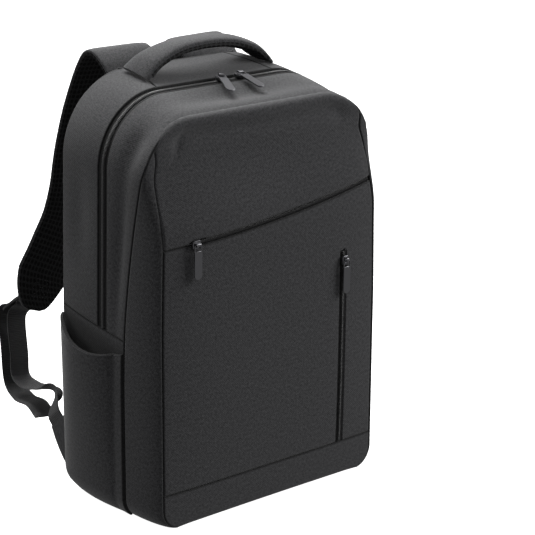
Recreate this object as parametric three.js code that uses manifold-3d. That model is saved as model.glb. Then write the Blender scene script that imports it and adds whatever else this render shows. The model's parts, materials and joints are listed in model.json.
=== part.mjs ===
// A laptop backpack of melange polyester cloth, standing on its base.
// Millimetres, Z up, front towards -Y, origin at the middle of the base on the floor.
import * as THREE from 'three';
import Module from 'manifold-3d';
import { mergeVertices } from 'three/addons/utils/BufferGeometryUtils.js';

const wasm = await Module();
wasm.setup();

// Body of the bag
const bodyWidth = 305;
const bodyHeight = 438;
const baseDepth = 154;
const topDepth = 137;
const gussetDepth = 106;
const topDrop = 26;
const topCurve = 1.3;
const backTuck = 4;
const sideLean = 6;
const backCorner = 80;
const frontCorner = 62;
const baseCornerBack = 30;
const baseCornerFront = 24;
const sideSeamBack = 205;
const sideSeamFront = 191;
const gussetCrown = 1.2;
const sideCrown = 2;
const clothWall = 2.4;
const boardWall = 3;
const seamGap = 0.3;

// Front pocket, its strips and its panel
const frontTaper = 12;
const frontFoot = 22;
const stripTopHeight = 374;
const panelBreakHeight = 290;
const seamStart = 0.3;
const panelBulge = 5;
const panelFloorGap = 1;
const hemHeight = 38;
const footRound = 5;

// Zips
const zipFromBack = 72;
const zipWidth = 11;
const coilWidth = 5.5;
const coilHeight = 1.8;
const tapeWall = 1.2;
const zipSink = 1.2;
const diagonalLeftHeight = 290;
const diagonalRise = 31;
const diagonalSag = 5;
const diagonalStart = 0.705;
const diagonalZipWidth = 6;
const zipEndGap = 0.8;
const verticalZipX = 94;
const verticalZipTop = 250;
const verticalZipWidth = 9;
const frontCoilHeight = 1;

// Back panel
const backStripWidth = 43.5;
const backPadWidth = bodyWidth - 2 * backStripWidth;
const backPadWall = 9;
const yokeHeight = 423;
const bandTop = 235;
const bandHeight = 42;
const bandWall = 3;
const padEdgeWall = 3;
const padRound = 14;
const bandCrown = 2;
const stripBelly = 1.5;

// Shoulder straps
const strapWidth = 70;
const strapTipWidth = 16;
const strapPadWall = 5;
const strapMeshWall = 2.6;
const strapReach = 125;
const strapSpread = 51;
const strapFlare = 60;
const strapTaperShare = 0.6;
const strapEdgeRound = 0.35;
const strapMeshInset = 1.5;

// Webbing and ladder locks
const webWidth = 25;
const webWall = 1.5;
const patchLength = 36;
const patchReach = 16;
const lockWidth = 32;
const lockLength = 34;
const lockWall = 3.2;
const lockBar = 3.6;
const lockDown = -8;
const lockStand = 9;
const lockTilt = 45;
const lockChamfer = 2;
const lockFlank = 9;
const lockTip = 12;
const webLead = 6;
const webLoop = 4;
const tabHeight = 46;
const tabReach = 30;
const tabSeam = 52;
const tabRise = 48;
const tabWall = 3;
const tabInset = 4;

// Carrying handle
const handleSpan = 164;
const handleShift = 6;
const handleRise = 27;
const handleWidth = 38;
const handleWall = 10;
const handleMeshWall = 3.4;
const handleMeshStart = 0.14;
const handleFromBack = 32;
const handleSeat = -0.4;
const handleEdgeRound = 0.55;

// Side pocket
const pocketHeight = 196;
const pocketSag = 14;
const pocketStand = 15;
const pocketWall = 1.8;
const pocketFrontSag = 1.3;
const pocketMouthShift = 1.15;

// Sliders and their pulls
const sliderLength = 10;
const sliderWidth = 8.5;
const sliderWall = 3.4;
const bridgeWall = 0.7;
const bridgeHole = 2.4;
const saddleWidth = 6;
const saddleLength = 3.8;
const loopWidth = 2.8;
const loopLength = 7;
const topLeftX = 0;
const topLeftYaw = -0.34;
const topRightX = 25;
const topRightYaw = 0.06;
const barWall = 1.1;
const pullWidth = 9.4;
const pullLength = 35;
const pullWall = 1.4;
const eyeLength = 6.5;
const eyeSide = 1.2;
const runningGap = 0.5;

const backY = baseDepth / 2;
const frontY = -baseDepth / 2;
const topSeamY = backY - topDepth;
const sideSeamY = backY - gussetDepth;
const zipY = backY - zipFromBack;
const frontTop = bodyHeight - topDrop;

// Colours and finishes
const melange = { color: 0x434345, roughness: 0.92, metalness: 0 };
const blackMesh = { color: 0x161617, roughness: 0.95, metalness: 0 };
const blackTape = { color: 0x1b1b1c, roughness: 0.85, metalness: 0 };
const blackPlastic = { color: 0x1d1d1f, roughness: 0.5, metalness: 0 };
const gunmetal = { color: 0x46474a, roughness: 0.35, metalness: 0.9 };

const bag = new THREE.Group();

function lerp(a, b, t) {
  return a + (b - a) * t;
}

function smooth(t) {
  const c = Math.min(1, Math.max(0, t));
  return c * c * (3 - 2 * c);
}

function steps(a, b, count) {
  return Array.from({ length: count + 1 }, (_, i) => lerp(a, b, i / count));
}

function addPiece(name, geometry, finish) {
  const mesh = new THREE.Mesh(geometry, new THREE.MeshStandardMaterial(finish));
  mesh.name = name;
  bag.add(mesh);
  return mesh;
}

// Six times the volume of a closed mesh, negative when its faces point inwards.
function signedVolume(position, index) {
  const a = new THREE.Vector3();
  const b = new THREE.Vector3();
  const c = new THREE.Vector3();
  let sum = 0;
  for (let i = 0; i < index.length; i += 3) {
    a.fromBufferAttribute(position, index[i]);
    b.fromBufferAttribute(position, index[i + 1]);
    c.fromBufferAttribute(position, index[i + 2]);
    sum += a.dot(b.cross(c));
  }
  return sum;
}

// A closed block whose three directions follow the lists us, vs and ws, bent by the function point.
function bentBlock(us, vs, ws, point) {
  const counts = [us.length - 1, vs.length - 1, ws.length - 1];
  const box = new THREE.BoxGeometry(1, 1, 1, ...counts);
  box.deleteAttribute('normal');
  box.deleteAttribute('uv');
  const block = mergeVertices(box, 1e-4);
  const position = block.attributes.position;
  for (let i = 0; i < position.count; i += 1) {
    const u = us[Math.round((position.getX(i) + 0.5) * counts[0])];
    const v = vs[Math.round((position.getY(i) + 0.5) * counts[1])];
    const w = ws[Math.round((position.getZ(i) + 0.5) * counts[2])];
    position.setXYZ(i, ...point(u, v, w));
  }
  const index = Array.from(block.index.array);
  if (signedVolume(position, index) < 0) {
    for (let i = 0; i < index.length; i += 3) {
      [index[i], index[i + 1]] = [index[i + 1], index[i]];
    }
  }
  block.setIndex(index);
  return block;
}

function toSolid(geometry) {
  const bare = geometry.clone();
  bare.deleteAttribute('normal');
  bare.deleteAttribute('uv');
  const merged = mergeVertices(bare, 1e-4);
  const vertProperties = new Float32Array(merged.attributes.position.array);
  const triVerts = new Uint32Array(merged.index.array);
  return new wasm.Manifold(new wasm.Mesh({ numProp: 3, vertProperties, triVerts }));
}

function toGeometry(solid) {
  const mesh = solid.getMesh();
  const geometry = new THREE.BufferGeometry();
  geometry.setAttribute('position', new THREE.BufferAttribute(new Float32Array(mesh.vertProperties), 3));
  geometry.setIndex(new THREE.BufferAttribute(new Uint32Array(mesh.triVerts), 1));
  return geometry;
}

// Outline of the bag seen from the front. Station 0 is the middle of the base, 1 to 2 the lower corner,
// 3 the side seam, 4 to 5 the upper corner, 6 the middle of the top, and 6 to 12 the same on the -X side.
const stationCount = 12;
const middleTop = 6;

function leanAt(z) {
  return sideLean * Math.max(0, (z - sideSeamBack) / (bodyHeight - sideSeamBack));
}

function outline(station, size, depth) {
  const side = station > middleTop ? -1 : 1;
  const s = station > middleTop ? stationCount - station : station;
  const half = size.half - depth;
  const top = size.top - depth;
  const foot = size.foot - depth;
  const corner = size.corner - depth;
  const quarter = Math.PI / 2;
  let x = half;
  let z = depth;
  let normal = 0;
  if (s <= 1) {
    x = s * (half - foot);
    normal = -quarter;
  } else if (s <= 2) {
    normal = (s - 2) * quarter;
    x = half - foot * (1 - Math.cos(normal));
    z = depth + foot * (1 + Math.sin(normal));
  } else if (s <= 3) {
    z = lerp(size.foot, size.seam, s - 2);
  } else if (s <= 4) {
    z = lerp(size.seam, size.top - size.corner, s - 3);
  } else if (s <= 5) {
    normal = (s - 4) * quarter;
    x = half - corner * (1 - Math.cos(normal));
    z = top - corner * (1 - Math.sin(normal));
  } else {
    x = (half - corner - leanAt(top)) * (middleTop - s);
    z = top;
    normal = quarter;
  }
  if (s > 1 && s <= 5) {
    x -= leanAt(z);
  }
  return { x: x * side, z, nx: Math.cos(normal) * side, nz: Math.sin(normal) };
}

function topAt(y) {
  return bodyHeight - topDrop * Math.max(0, (backY - y) / topDepth) ** topCurve;
}

function cornerAt(y) {
  return lerp(backCorner, frontCorner, (backY - y) / topDepth);
}

// The front seam of the gusset: far back at the foot, forward from a share of the height upwards.
function frontSeamY(z) {
  const share = (z - seamStart * frontTop) / (stripTopHeight - seamStart * frontTop);
  return lerp(sideSeamY, topSeamY, Math.min(1, Math.max(0, share)) ** 2);
}

function panelY(z) {
  return lerp(frontY, topSeamY, smooth((z - panelBreakHeight) / (stripTopHeight - panelBreakHeight)));
}

function taperAt(z) {
  return frontTaper * (1 - smooth((z - panelBreakHeight) / (stripTopHeight - panelBreakHeight)));
}

// Share of the mitre between gusset and front panel: none low beside the strip, whole above it.
function mitreAt(z) {
  return smooth((z - sideSeamBack) / (stripTopHeight - sideSeamBack));
}

const backRing = {
  half: bodyWidth / 2 - backTuck,
  top: bodyHeight,
  corner: backCorner,
  foot: baseCornerBack,
  seam: sideSeamBack,
};
const frontRing = {
  half: bodyWidth / 2,
  top: frontTop,
  corner: frontCorner,
  foot: baseCornerFront,
  seam: sideSeamFront,
};

function backSeam(s, depth) {
  return { ...outline(s, backRing, depth), y: backY - depth };
}

function ringAt(y) {
  return (s, depth) => {
    const size = {
      half: bodyWidth / 2,
      top: topAt(y),
      corner: cornerAt(y),
      foot: baseCornerBack,
      seam: lerp(sideSeamBack, sideSeamFront, (backY - y) / gussetDepth),
    };
    return { ...outline(s, size, depth), y };
  };
}

function frontSeam(s, depth) {
  const ring = outline(s, frontRing, depth);
  return { ...ring, y: frontSeamY(ring.z) + depth * mitreAt(ring.z) };
}

function panelSeam(s, depth) {
  const plain = outline(s, frontRing, 0);
  const low = s <= 2 || s >= stationCount - 2;
  const size = {
    ...frontRing,
    half: bodyWidth / 2 - taperAt(plain.z),
    foot: low ? frontFoot : baseCornerFront,
  };
  const ring = outline(s, size, 0);
  const inner = outline(s, size, depth);
  const share = mitreAt(plain.z);
  return { x: lerp(ring.x, inner.x, share), z: lerp(ring.z, inner.z, share), y: panelY(ring.z) + depth };
}

// Stations of the outline from one to another, close together round the corners.
const cornerSteps = 7;
const sideSteps = 4;
const stripEnd = 4.22;

function stationsBetween(a, b) {
  const list = [a];
  for (let part = Math.floor(a); part < b; part += 1) {
    const round = part === 1 || part === 4 || part === 7 || part === 10;
    const count = round ? cornerSteps : sideSteps;
    for (let i = 1; i <= count; i += 1) {
      const s = part + i / count;
      if (s > a + 0.02 && s < b - 0.02) {
        list.push(s);
      }
    }
  }
  for (const s of [stripEnd, stationCount - stripEnd]) {
    if (s > a + 0.02 && s < b - 0.02) {
      list.push(s);
    }
  }
  list.push(b);
  return list.sort((p, q) => p - q);
}

// Dents and folds of the cloth: where along the outline, how far across the piece, and how deep.
const gussetDents = [
  { station: 7.45, across: 0.66, alongSpan: 0.4, acrossSpan: 0.13, depth: 3.2 },
  { station: 7.0, across: 0.8, alongSpan: 0.35, acrossSpan: 0.12, depth: 2.2 },
  { station: 8.2, across: 0.5, alongSpan: 0.5, acrossSpan: 0.2, depth: 1.6 },
  { station: 6, across: 0.45, alongSpan: 0.9, acrossSpan: 0.3, depth: 4 },
  { station: 4.5, across: 0.66, alongSpan: 0.4, acrossSpan: 0.15, depth: 2.4 },
];
const backDents = [
  { station: 8.35, across: 0.5, alongSpan: 0.3, acrossSpan: 0.3, depth: 2 },
  { station: 3.6, across: 0.5, alongSpan: 0.3, acrossSpan: 0.3, depth: 2 },
];
const sideDents = [
  { station: 9.5, across: 0.45, alongSpan: 0.35, acrossSpan: 0.25, depth: 1.5 },
  { station: 2.5, across: 0.45, alongSpan: 0.35, acrossSpan: 0.25, depth: 1.5 },
];

function dentAt(dents, s, k) {
  let depth = 0;
  for (const dent of dents) {
    const along = (s - dent.station) / dent.alongSpan;
    const across = (k - dent.across) / dent.acrossSpan;
    depth += dent.depth * Math.exp(-along * along - across * across);
  }
  return depth * Math.sin(Math.PI * k);
}

// Share of a wall's crown: whole where it faces sideways or up, none where it turns in under the bag.
function standingShare(nz) {
  return Math.min(1, 1 + nz);
}

// A cloth band between two rings, with its crown and dents and half a seam gap at each edge.
function clothBand(ringA, ringB, stations, across, wall, crown, dents) {
  return bentBlock(stations, steps(0, 1, across), [0, 1], (s, v, w) => {
    const a = ringA(s, 0);
    const b = ringB(s, 0);
    const span = Math.hypot(a.x - b.x, a.y - b.y, a.z - b.z);
    const k = (seamGap / 2 + v * (span - seamGap)) / span;
    const p = ringA(s, w * wall);
    const q = ringB(s, w * wall);
    const out = (crown * Math.sin(Math.PI * k) - dentAt(dents, s, k)) * standingShare(a.nz);
    return [lerp(p.x, q.x, k) + a.nx * out, lerp(p.y, q.y, k), lerp(p.z, q.z, k) + a.nz * out];
  });
}

const sideGap = seamGap / 2 / (frontTop - frontCorner - sideSeamBack);
const lowGap = seamGap / 2 / (sideSeamFront - baseCornerBack);
const topGap = seamGap / 2 / (bodyWidth / 2 - backCorner);

function buildGussets() {
  const backEdge = ringAt(zipY + zipWidth / 2);
  const frontEdge = ringAt(zipY - zipWidth / 2);
  const right = stationsBetween(3 + sideGap, 5 - topGap / 2);
  const left = stationsBetween(7 + topGap / 2, 9 - sideGap);
  const top = stationsBetween(5 + topGap, 7 - topGap);
  const whole = stationsBetween(3 + sideGap, 9 - sideGap);
  const gusset = (ringA, ringB, stations, dents) => {
    return clothBand(ringA, ringB, stations, 4, clothWall, gussetCrown, dents);
  };
  addPiece('back_gusset_right', gusset(backSeam, backEdge, right, backDents), melange);
  addPiece('back_gusset_left', gusset(backSeam, backEdge, left, backDents), melange);
  addPiece('top_band', gusset(backSeam, backEdge, top, []), melange);
  addPiece('front_gusset', gusset(frontEdge, frontSeam, whole, gussetDents), melange);
}

function buildSides() {
  const right = stationsBetween(1, 3 - lowGap);
  const left = stationsBetween(9 + lowGap, 11);
  for (const [name, stations] of [['side_panel_right', right], ['side_panel_left', left]]) {
    const panel = clothBand(backSeam, frontSeam, stations, 4, clothWall, sideCrown, sideDents);
    addPiece(name, panel, melange);
  }
}

// The front pocket's strip: a quarter of an ellipse from the gusset round to the front panel.
function stripPoint(s, k, depth) {
  const a = frontSeam(s, depth);
  const b = panelSeam(s, depth);
  const turn = k * Math.PI / 2;
  const inward = 1 - Math.cos(turn);
  return [lerp(a.x, b.x, inward), lerp(a.y, b.y, Math.sin(turn)), lerp(a.z, b.z, inward)];
}

function buildStrips() {
  const sides = [
    ['front_strip_right', 1, stripEnd],
    ['front_strip_left', stationCount - stripEnd, stationCount - 1],
  ];
  for (const [name, from, to] of sides) {
    const block = bentBlock(stationsBetween(from, to), steps(0, 1, 4), [0, 1], (s, v, w) => {
      const a = frontSeam(s, 0);
      const b = panelSeam(s, 0);
      const edge = seamGap / 2 / Math.max(Math.abs(a.y - b.y), seamGap * 2);
      return stripPoint(s, lerp(edge, 1 - edge, v), w * clothWall);
    });
    addPiece(name, block, melange);
  }
}

// The base is a stiffened panel inside the walls; its under face is the flat that the bag stands on.
function buildBase() {
  const back = backSeam(1, clothWall);
  const seam = frontSeam(1, clothWall);
  const turnIn = clothWall + seamGap + footRound / 2;
  const rows = steps(0, 1, 2).map((k) => {
    const y = lerp(backY - turnIn, seam.y, k);
    return { y, half: lerp(back.x, seam.x, (back.y - y) / (back.y - seam.y)) - seamGap };
  });
  for (const k of [0.25, 0.5, 0.75]) {
    const [x, y] = stripPoint(1, k, clothWall);
    rows.push({ y: y + seamGap, half: x - seamGap });
  }
  rows.push({ y: frontY + turnIn, half: panelSeam(1, clothWall).x - seamGap });
  const block = bentBlock(rows, steps(-1, 1, 2), [0, 1], (row, v, w) => {
    return [row.half * v, row.y, boardWall * w];
  });
  addPiece('base_panel', block, melange);
}

// Half width inside a ring at a height, read off its own straight facets so that edges match exactly.
function halfInside(ring, stations, z, depth) {
  const points = stations.map((s) => ring(s, depth));
  let i = 0;
  while (i < points.length - 2 && points[i + 1].z < z) {
    i += 1;
  }
  const a = points[i];
  const b = points[i + 1];
  const share = Math.min(1, Math.max(0, (z - a.z) / Math.max(b.z - a.z, 1e-6)));
  return lerp(a.x, b.x, share);
}

const halfStations = stationsBetween(1, 5);

function panelHalf(z) {
  return halfInside(panelSeam, halfStations, z, 0);
}

// The lower edge of the front and the back turns in under the bag.
function footTuck(share, z) {
  return footRound * 0.5 * Math.max(0, 1 - z / footRound) ** 2 * (1 - share ** 6);
}

// The front face bellies out in the middle and is drawn flat towards its seams.
function panelFace(share, z) {
  const belly = Math.sin(Math.PI * Math.min(1, z / frontTop)) ** 0.6;
  return panelY(z) - panelBulge * belly * (1 - share ** 4) + footTuck(share, z);
}

function diagonalHeight(x) {
  const share = (x + bodyWidth / 2) / bodyWidth;
  return diagonalLeftHeight + diagonalRise * share - diagonalSag * Math.sin(Math.PI * share);
}

function diagonalOpen(x) {
  const start = -diagonalStart * bodyWidth / 2;
  const share = (x - start) / diagonalZipWidth + 0.5;
  return lerp(seamGap / 2, diagonalZipWidth / 2, smooth(share));
}

// The whole front face in one piece, its edge on the facets of the strips and the gusset beside it.
function wholePanel() {
  return bentBlock(steps(-1, 1, 12), halfStations, [0, 1], (u, s, w) => {
    const edge = panelSeam(s, w * clothWall);
    const highest = frontTop - w * clothWall - seamGap / 2;
    const z = Math.min(Math.max(edge.z, panelFloorGap), highest);
    return [u * (edge.x - seamGap / 2), panelFace(u, z) + w * clothWall, z];
  });
}

// A cutter through the front face between two heights given as functions of x.
function panelCutter(low, high) {
  const mouth = -diagonalStart * bodyWidth / 2;
  const half = diagonalZipWidth / 2;
  const columns = [...steps(-bodyWidth, bodyWidth, 26), mouth - half, mouth + half];
  columns.sort((a, b) => a - b);
  return toSolid(bentBlock(columns, [0, 1], [-1, 1], (x, v, w) => {
    return [x, topSeamY - baseDepth * w / 2, lerp(low(x), high(x), v)];
  }));
}

function buildFrontPanels() {
  const whole = toSolid(wholePanel());
  const below = () => -bodyHeight;
  const above = () => bodyHeight * 2;
  const hem = whole.intersect(panelCutter(below, () => hemHeight - seamGap / 2));
  addPiece('front_hem', toGeometry(hem), melange);
  const upper = whole.intersect(panelCutter((x) => diagonalHeight(x) + diagonalOpen(x), above));
  addPiece('front_panel_upper', toGeometry(upper), melange);
  const lower = whole.intersect(
    panelCutter(() => hemHeight + seamGap / 2, (x) => diagonalHeight(x) - diagonalOpen(x)),
  );
  const slot = new THREE.BoxGeometry(verticalZipWidth, baseDepth / 4, verticalZipTop - hemHeight);
  slot.translate(verticalZipX, frontY, (verticalZipTop + hemHeight) / 2);
  addPiece('front_panel_lower', toGeometry(lower.subtract(toSolid(slot))), melange);
}

// Section of a closed zip across its width: tape, then the rounded coil in the middle.
const zipSection = [
  { across: 0, rise: 0 },
  { across: 0.5 - coilWidth / zipWidth / 2, rise: 0 },
  { across: 0.5, rise: 1 },
  { across: 0.5 + coilWidth / zipWidth / 2, rise: 0 },
  { across: 1, rise: 0 },
];

function buildMainZip() {
  const backEdge = ringAt(zipY + zipWidth / 2 - seamGap / 2);
  const frontEdge = ringAt(zipY - zipWidth / 2 + seamGap / 2);
  const stations = stationsBetween(3 + sideGap, 9 - sideGap);
  const block = bentBlock(stations, zipSection, [0, 1], (s, row, w) => {
    const depth = w ? zipSink + tapeWall : zipSink - row.rise * coilHeight;
    const a = backEdge(s, depth);
    const b = frontEdge(s, depth);
    return [lerp(a.x, b.x, row.across), lerp(a.y, b.y, row.across), lerp(a.z, b.z, row.across)];
  });
  addPiece('main_zip', block, blackTape);
}

const frontZipSection = [
  { across: -1, rise: 0 },
  { across: -0.6, rise: 0 },
  { across: 0, rise: 1 },
  { across: 0.6, rise: 0 },
  { across: 1, rise: 0 },
];

function frontZipY(share, z, row, w) {
  const depth = w ? zipSink + tapeWall : zipSink - row.rise * frontCoilHeight;
  return panelFace(share, z) + depth;
}

function buildFrontZips() {
  const start = -diagonalStart * bodyWidth / 2;
  const highest = diagonalHeight(bodyWidth / 2) + diagonalZipWidth / 2;
  const end = halfInside(panelSeam, halfStations, highest, clothWall) - zipEndGap;
  const columns = steps(start + diagonalZipWidth * 0.75, end, 8);
  const diagonal = bentBlock(columns, frontZipSection, [0, 1], (x, row, w) => {
    const z = diagonalHeight(x) + row.across * (diagonalZipWidth / 2 - seamGap);
    return [x, frontZipY(x / panelHalf(z), z, row, w), z];
  });
  addPiece('diagonal_zip', diagonal, blackTape);
  const from = hemHeight + seamGap * 1.5;
  const to = verticalZipTop - seamGap;
  const vertical = bentBlock(steps(from, to, 6), frontZipSection, [0, 1], (z, row, w) => {
    const x = verticalZipX + row.across * (verticalZipWidth / 2 - seamGap);
    return [x, frontZipY(x / panelHalf(z), z, row, w), z];
  });
  addPiece('vertical_zip', vertical, blackTape);
}

function backHalf(z, depth) {
  return halfInside(backSeam, halfStations, z, depth);
}

function buildBackStrips() {
  const inner = backPadWidth / 2 + seamGap;
  const upperCorner = bodyHeight - backCorner;
  let top = yokeHeight;
  while (backHalf(top, clothWall + seamGap / 2) < inner + 1) {
    top -= seamGap;
  }
  const rows = [
    ...steps(clothWall + seamGap, baseCornerBack, 4),
    ...steps(baseCornerBack * 2, upperCorner, 4),
    ...steps(upperCorner + 10, top, 4),
  ];
  for (const [name, side] of [['back_strip_right', 1], ['back_strip_left', -1]]) {
    const block = bentBlock(steps(0, 1, 2), rows, [0, 1], (u, z, w) => {
      const outer = Math.max(inner + seamGap * 2, backHalf(z, w * clothWall + seamGap / 2));
      const belly = stripBelly * Math.sin(Math.PI * u);
      return [side * lerp(inner, outer, u), backY + belly - footTuck(u, z) - w * clothWall, z];
    });
    addPiece(name, block, melange);
  }
}

// The padded mesh panels of the back, crowned away from the bag, with a smooth band between them.
function backPad(low, high, wall, columns, rows, crown) {
  const half = backPadWidth / 2;
  return bentBlock(steps(-1, 1, columns), steps(low, high, rows), [0, 1], (u, z, w) => {
    const across = Math.min(1, (1 - Math.abs(u)) * half / padRound);
    const upDown = Math.min(1, Math.max(0, z - low) / padRound, Math.max(0, high - z) / padRound);
    const rise = crown * across * Math.sqrt(upDown);
    const y = w ? backY - clothWall : backY - clothWall + wall + rise;
    const inside = Math.min(half, backHalf(z, clothWall + seamGap / 2));
    return [u * inside, y, z];
  });
}

function buildBack() {
  const crown = backPadWall - padEdgeWall;
  const bandBottom = bandTop - bandHeight;
  const edge = seamGap / 2;
  const upper = backPad(bandTop + edge, yokeHeight - edge, padEdgeWall, 10, 8, crown);
  const band = backPad(bandBottom + edge, bandTop - edge, bandWall, 8, 2, bandCrown);
  const lower = backPad(panelFloorGap, bandBottom - edge, padEdgeWall, 10, 8, crown);
  addPiece('back_mesh_upper', upper, blackMesh);
  addPiece('trolley_band', band, blackTape);
  addPiece('back_mesh_lower', lower, blackMesh);
  const yoke = bentBlock(steps(-1, 1, 6), steps(0, 1, 4), [0, 1], (u, v, w) => {
    const z = lerp(yokeHeight + seamGap / 2, bodyHeight - w * clothWall - seamGap / 2, v);
    const half = backHalf(z, w * clothWall + seamGap / 2);
    return [u * half, backY - w * clothWall, z];
  });
  addPiece('yoke', yoke, melange);
}

// Centre line of the right shoulder strap. Out is its distance from the back as a share of the strap's
// reach, height a share of the bag's height, flare a share of its curve to the side, and yaw the turn of
// its outer edge away from the back, in degrees.
const strapPath = [
  { out: 0.03, height: 0.984, flare: 0, yaw: 0 },
  { out: 0.11, height: 1.006, flare: 0, yaw: 1 },
  { out: 0.22, height: 1.024, flare: 0, yaw: 3 },
  { out: 0.3, height: 1.02, flare: 0, yaw: 4 },
  { out: 0.4, height: 0.984, flare: 0, yaw: 6 },
  { out: 0.6, height: 0.872, flare: 0, yaw: 8 },
  { out: 0.75, height: 0.763, flare: 0, yaw: 5 },
  { out: 0.83, height: 0.667, flare: 0.03, yaw: 2 },
  { out: 0.88, height: 0.589, flare: 0.15, yaw: 0 },
  { out: 0.92, height: 0.511, flare: 0.4, yaw: 0 },
  { out: 0.955, height: 0.438, flare: 0.66, yaw: 0 },
  { out: 0.97, height: 0.358, flare: 0.86, yaw: 0 },
];

function strapPoint(row) {
  return new THREE.Vector3(
    strapSpread + row.flare * strapFlare,
    backY + row.out * strapReach,
    row.height * bodyHeight,
  );
}

const strapCurve = new THREE.CatmullRomCurve3(strapPath.map(strapPoint), false, 'centripetal');

// The value of a column of a table at a share of its rows, straight between two rows.
function readTable(table, column, share) {
  const place = share * (table.length - 1);
  const i = Math.min(table.length - 2, Math.floor(place));
  return lerp(table[i][column], table[i + 1][column], place - i);
}

// Frame on the strap: along it, across it and out of its face. Its rulings stay level, turned by the yaw.
function strapFrame(t) {
  const at = strapCurve.getPointAt(t);
  const along = strapCurve.getTangentAt(t);
  const yaw = readTable(strapPath, 'yaw', strapCurve.getUtoTmapping(t)) * Math.PI / 180;
  const level = new THREE.Vector3(Math.cos(yaw), Math.sin(yaw), 0);
  const across = level.addScaledVector(along, -along.dot(level)).normalize();
  const face = new THREE.Vector3().crossVectors(across, along).normalize();
  return { at, along, across, face };
}

function strapWidthAt(t) {
  const left = (1 - t) * strapCurve.getLength();
  const share = Math.min(1, Math.max(0, left / (strapWidth * strapTaperShare)));
  return lerp(strapTipWidth, strapWidth, Math.sqrt(share)) / 2;
}

// A layer of the strap between two depths from its outer face, with rounded edges.
function strapLayer(side, from, to, inset) {
  return bentBlock(steps(0.004, 0.995, 22), steps(-1, 1, 4), [0, 1], (t, v, w) => {
    const { at, across, face } = strapFrame(t);
    const half = strapWidthAt(t) - inset;
    const round = 1 - strapEdgeRound * Math.abs(v) ** 4;
    const middle = (from + to) / 2;
    const depth = middle + (w - 0.5) * (to - from) * round;
    const p = at.clone().addScaledVector(across, v * half).addScaledVector(face, depth);
    return [side * p.x, p.y, p.z];
  });
}

// A flat band of one width along a curve, its cross direction given for each share of the curve.
function flatBand(curve, count, width, wall, side, acrossAt) {
  return bentBlock(steps(0, 1, count), [-0.5, 0.5], [-0.5, 0.5], (t, v, w) => {
    const at = curve.getPoint(t);
    const along = curve.getTangent(t);
    const level = acrossAt(t);
    const across = level.clone().addScaledVector(along, -along.dot(level)).normalize();
    const face = new THREE.Vector3().crossVectors(across, along);
    const p = at.addScaledVector(across, v * width).addScaledVector(face, w * wall);
    return [side * p.x, p.y, p.z];
  });
}

// Where the strap ends: the frame that the patch, the lock and the webbing follow.
const strapEnd = strapFrame(1);

// A point over the middle of the strap: a distance above its end, and out of its face.
function padPoint(up, out) {
  const frame = strapFrame(1 - up / strapCurve.getLength());
  return frame.at.clone().addScaledVector(frame.face, out);
}

const lockSlot = (lockLength - lockTip - 3 * lockBar) / 2;
const bendRadius = Math.hypot(lockBar, lockWall) / 2 + seamGap + webWall / 2;

// A point on the lock: down its plate from the middle of its top bar, across it, and out of its face. The
// lock hangs outside the strap's end, tilted away from it.
function lockPoint(down, across, out) {
  const tilt = lockTilt * Math.PI / 180;
  const alongLock = down * Math.cos(tilt) - out * Math.sin(tilt);
  const outLock = down * Math.sin(tilt) + out * Math.cos(tilt);
  return strapEnd.at.clone()
    .addScaledVector(strapEnd.along, lockDown + alongLock)
    .addScaledVector(strapEnd.across, across)
    .addScaledVector(strapEnd.face, strapPadWall + lockStand + outLock);
}

// Points of a half turn round a bar of the lock, from one face of its plate to the other.
function halfTurn(down, side, open) {
  return steps(-90, 90, 6).map((degrees) => {
    const angle = degrees * Math.PI / 180;
    return lockPoint(down + open * bendRadius * Math.cos(angle), 0, side * bendRadius * Math.sin(angle));
  });
}

// The patch is webbing folded double through the lock's top bar and sewn on the pad's outer face.
function patchCurve() {
  const under = strapPadWall + seamGap + webWall / 2;
  const over = under + webWall + seamGap;
  return new THREE.CatmullRomCurve3([
    ...steps(patchLength, patchReach, 3).map((up) => padPoint(up, under)),
    ...halfTurn(0, 1, 1),
    ...steps(patchReach, patchLength, 3).map((up) => padPoint(up, over)),
  ], false, 'centripetal');
}

// The ladder lock: an outer frame with a middle bar, cut from one plate.
function lockGeometry(side) {
  const plate = new THREE.Shape();
  const half = lockWidth / 2;
  const top = -lockBar / 2;
  const bottom = lockLength - lockBar / 2;
  plate.moveTo(-half + lockChamfer, top);
  plate.lineTo(half - lockChamfer, top);
  plate.lineTo(half, top + lockChamfer);
  plate.lineTo(half, bottom - lockFlank);
  plate.quadraticCurveTo(half - 1, bottom, half - lockTip, bottom);
  plate.lineTo(-half + lockTip, bottom);
  plate.quadraticCurveTo(-half + 1, bottom, -half, bottom - lockFlank);
  plate.lineTo(-half, top + lockChamfer);
  plate.closePath();
  const slotHalf = webWidth / 2 + runningGap + seamGap;
  for (const start of [lockBar / 2, lockBar * 1.5 + lockSlot]) {
    const slot = new THREE.Path();
    slot.moveTo(-slotHalf, start);
    slot.lineTo(slotHalf, start);
    slot.lineTo(slotHalf, start + lockSlot);
    slot.lineTo(-slotHalf, start + lockSlot);
    slot.closePath();
    plate.holes.push(slot);
  }
  const bare = new THREE.ExtrudeGeometry(plate, { depth: lockWall, bevelEnabled: false, curveSegments: 4 });
  bare.translate(0, 0, -lockWall / 2);
  bare.deleteAttribute('normal');
  bare.deleteAttribute('uv');
  const merged = mergeVertices(bare, 1e-4);
  const position = merged.attributes.position;
  for (let i = 0; i < position.count; i += 1) {
    const p = lockPoint(position.getY(i), position.getX(i), position.getZ(i));
    position.setXYZ(i, side * p.x, p.y, p.z);
  }
  const index = Array.from(merged.index.array);
  if (signedVolume(position, index) < 0) {
    for (let i = 0; i < index.length; i += 3) {
      [index[i], index[i + 1]] = [index[i + 1], index[i]];
    }
  }
  merged.setIndex(index);
  return merged;
}

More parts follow.
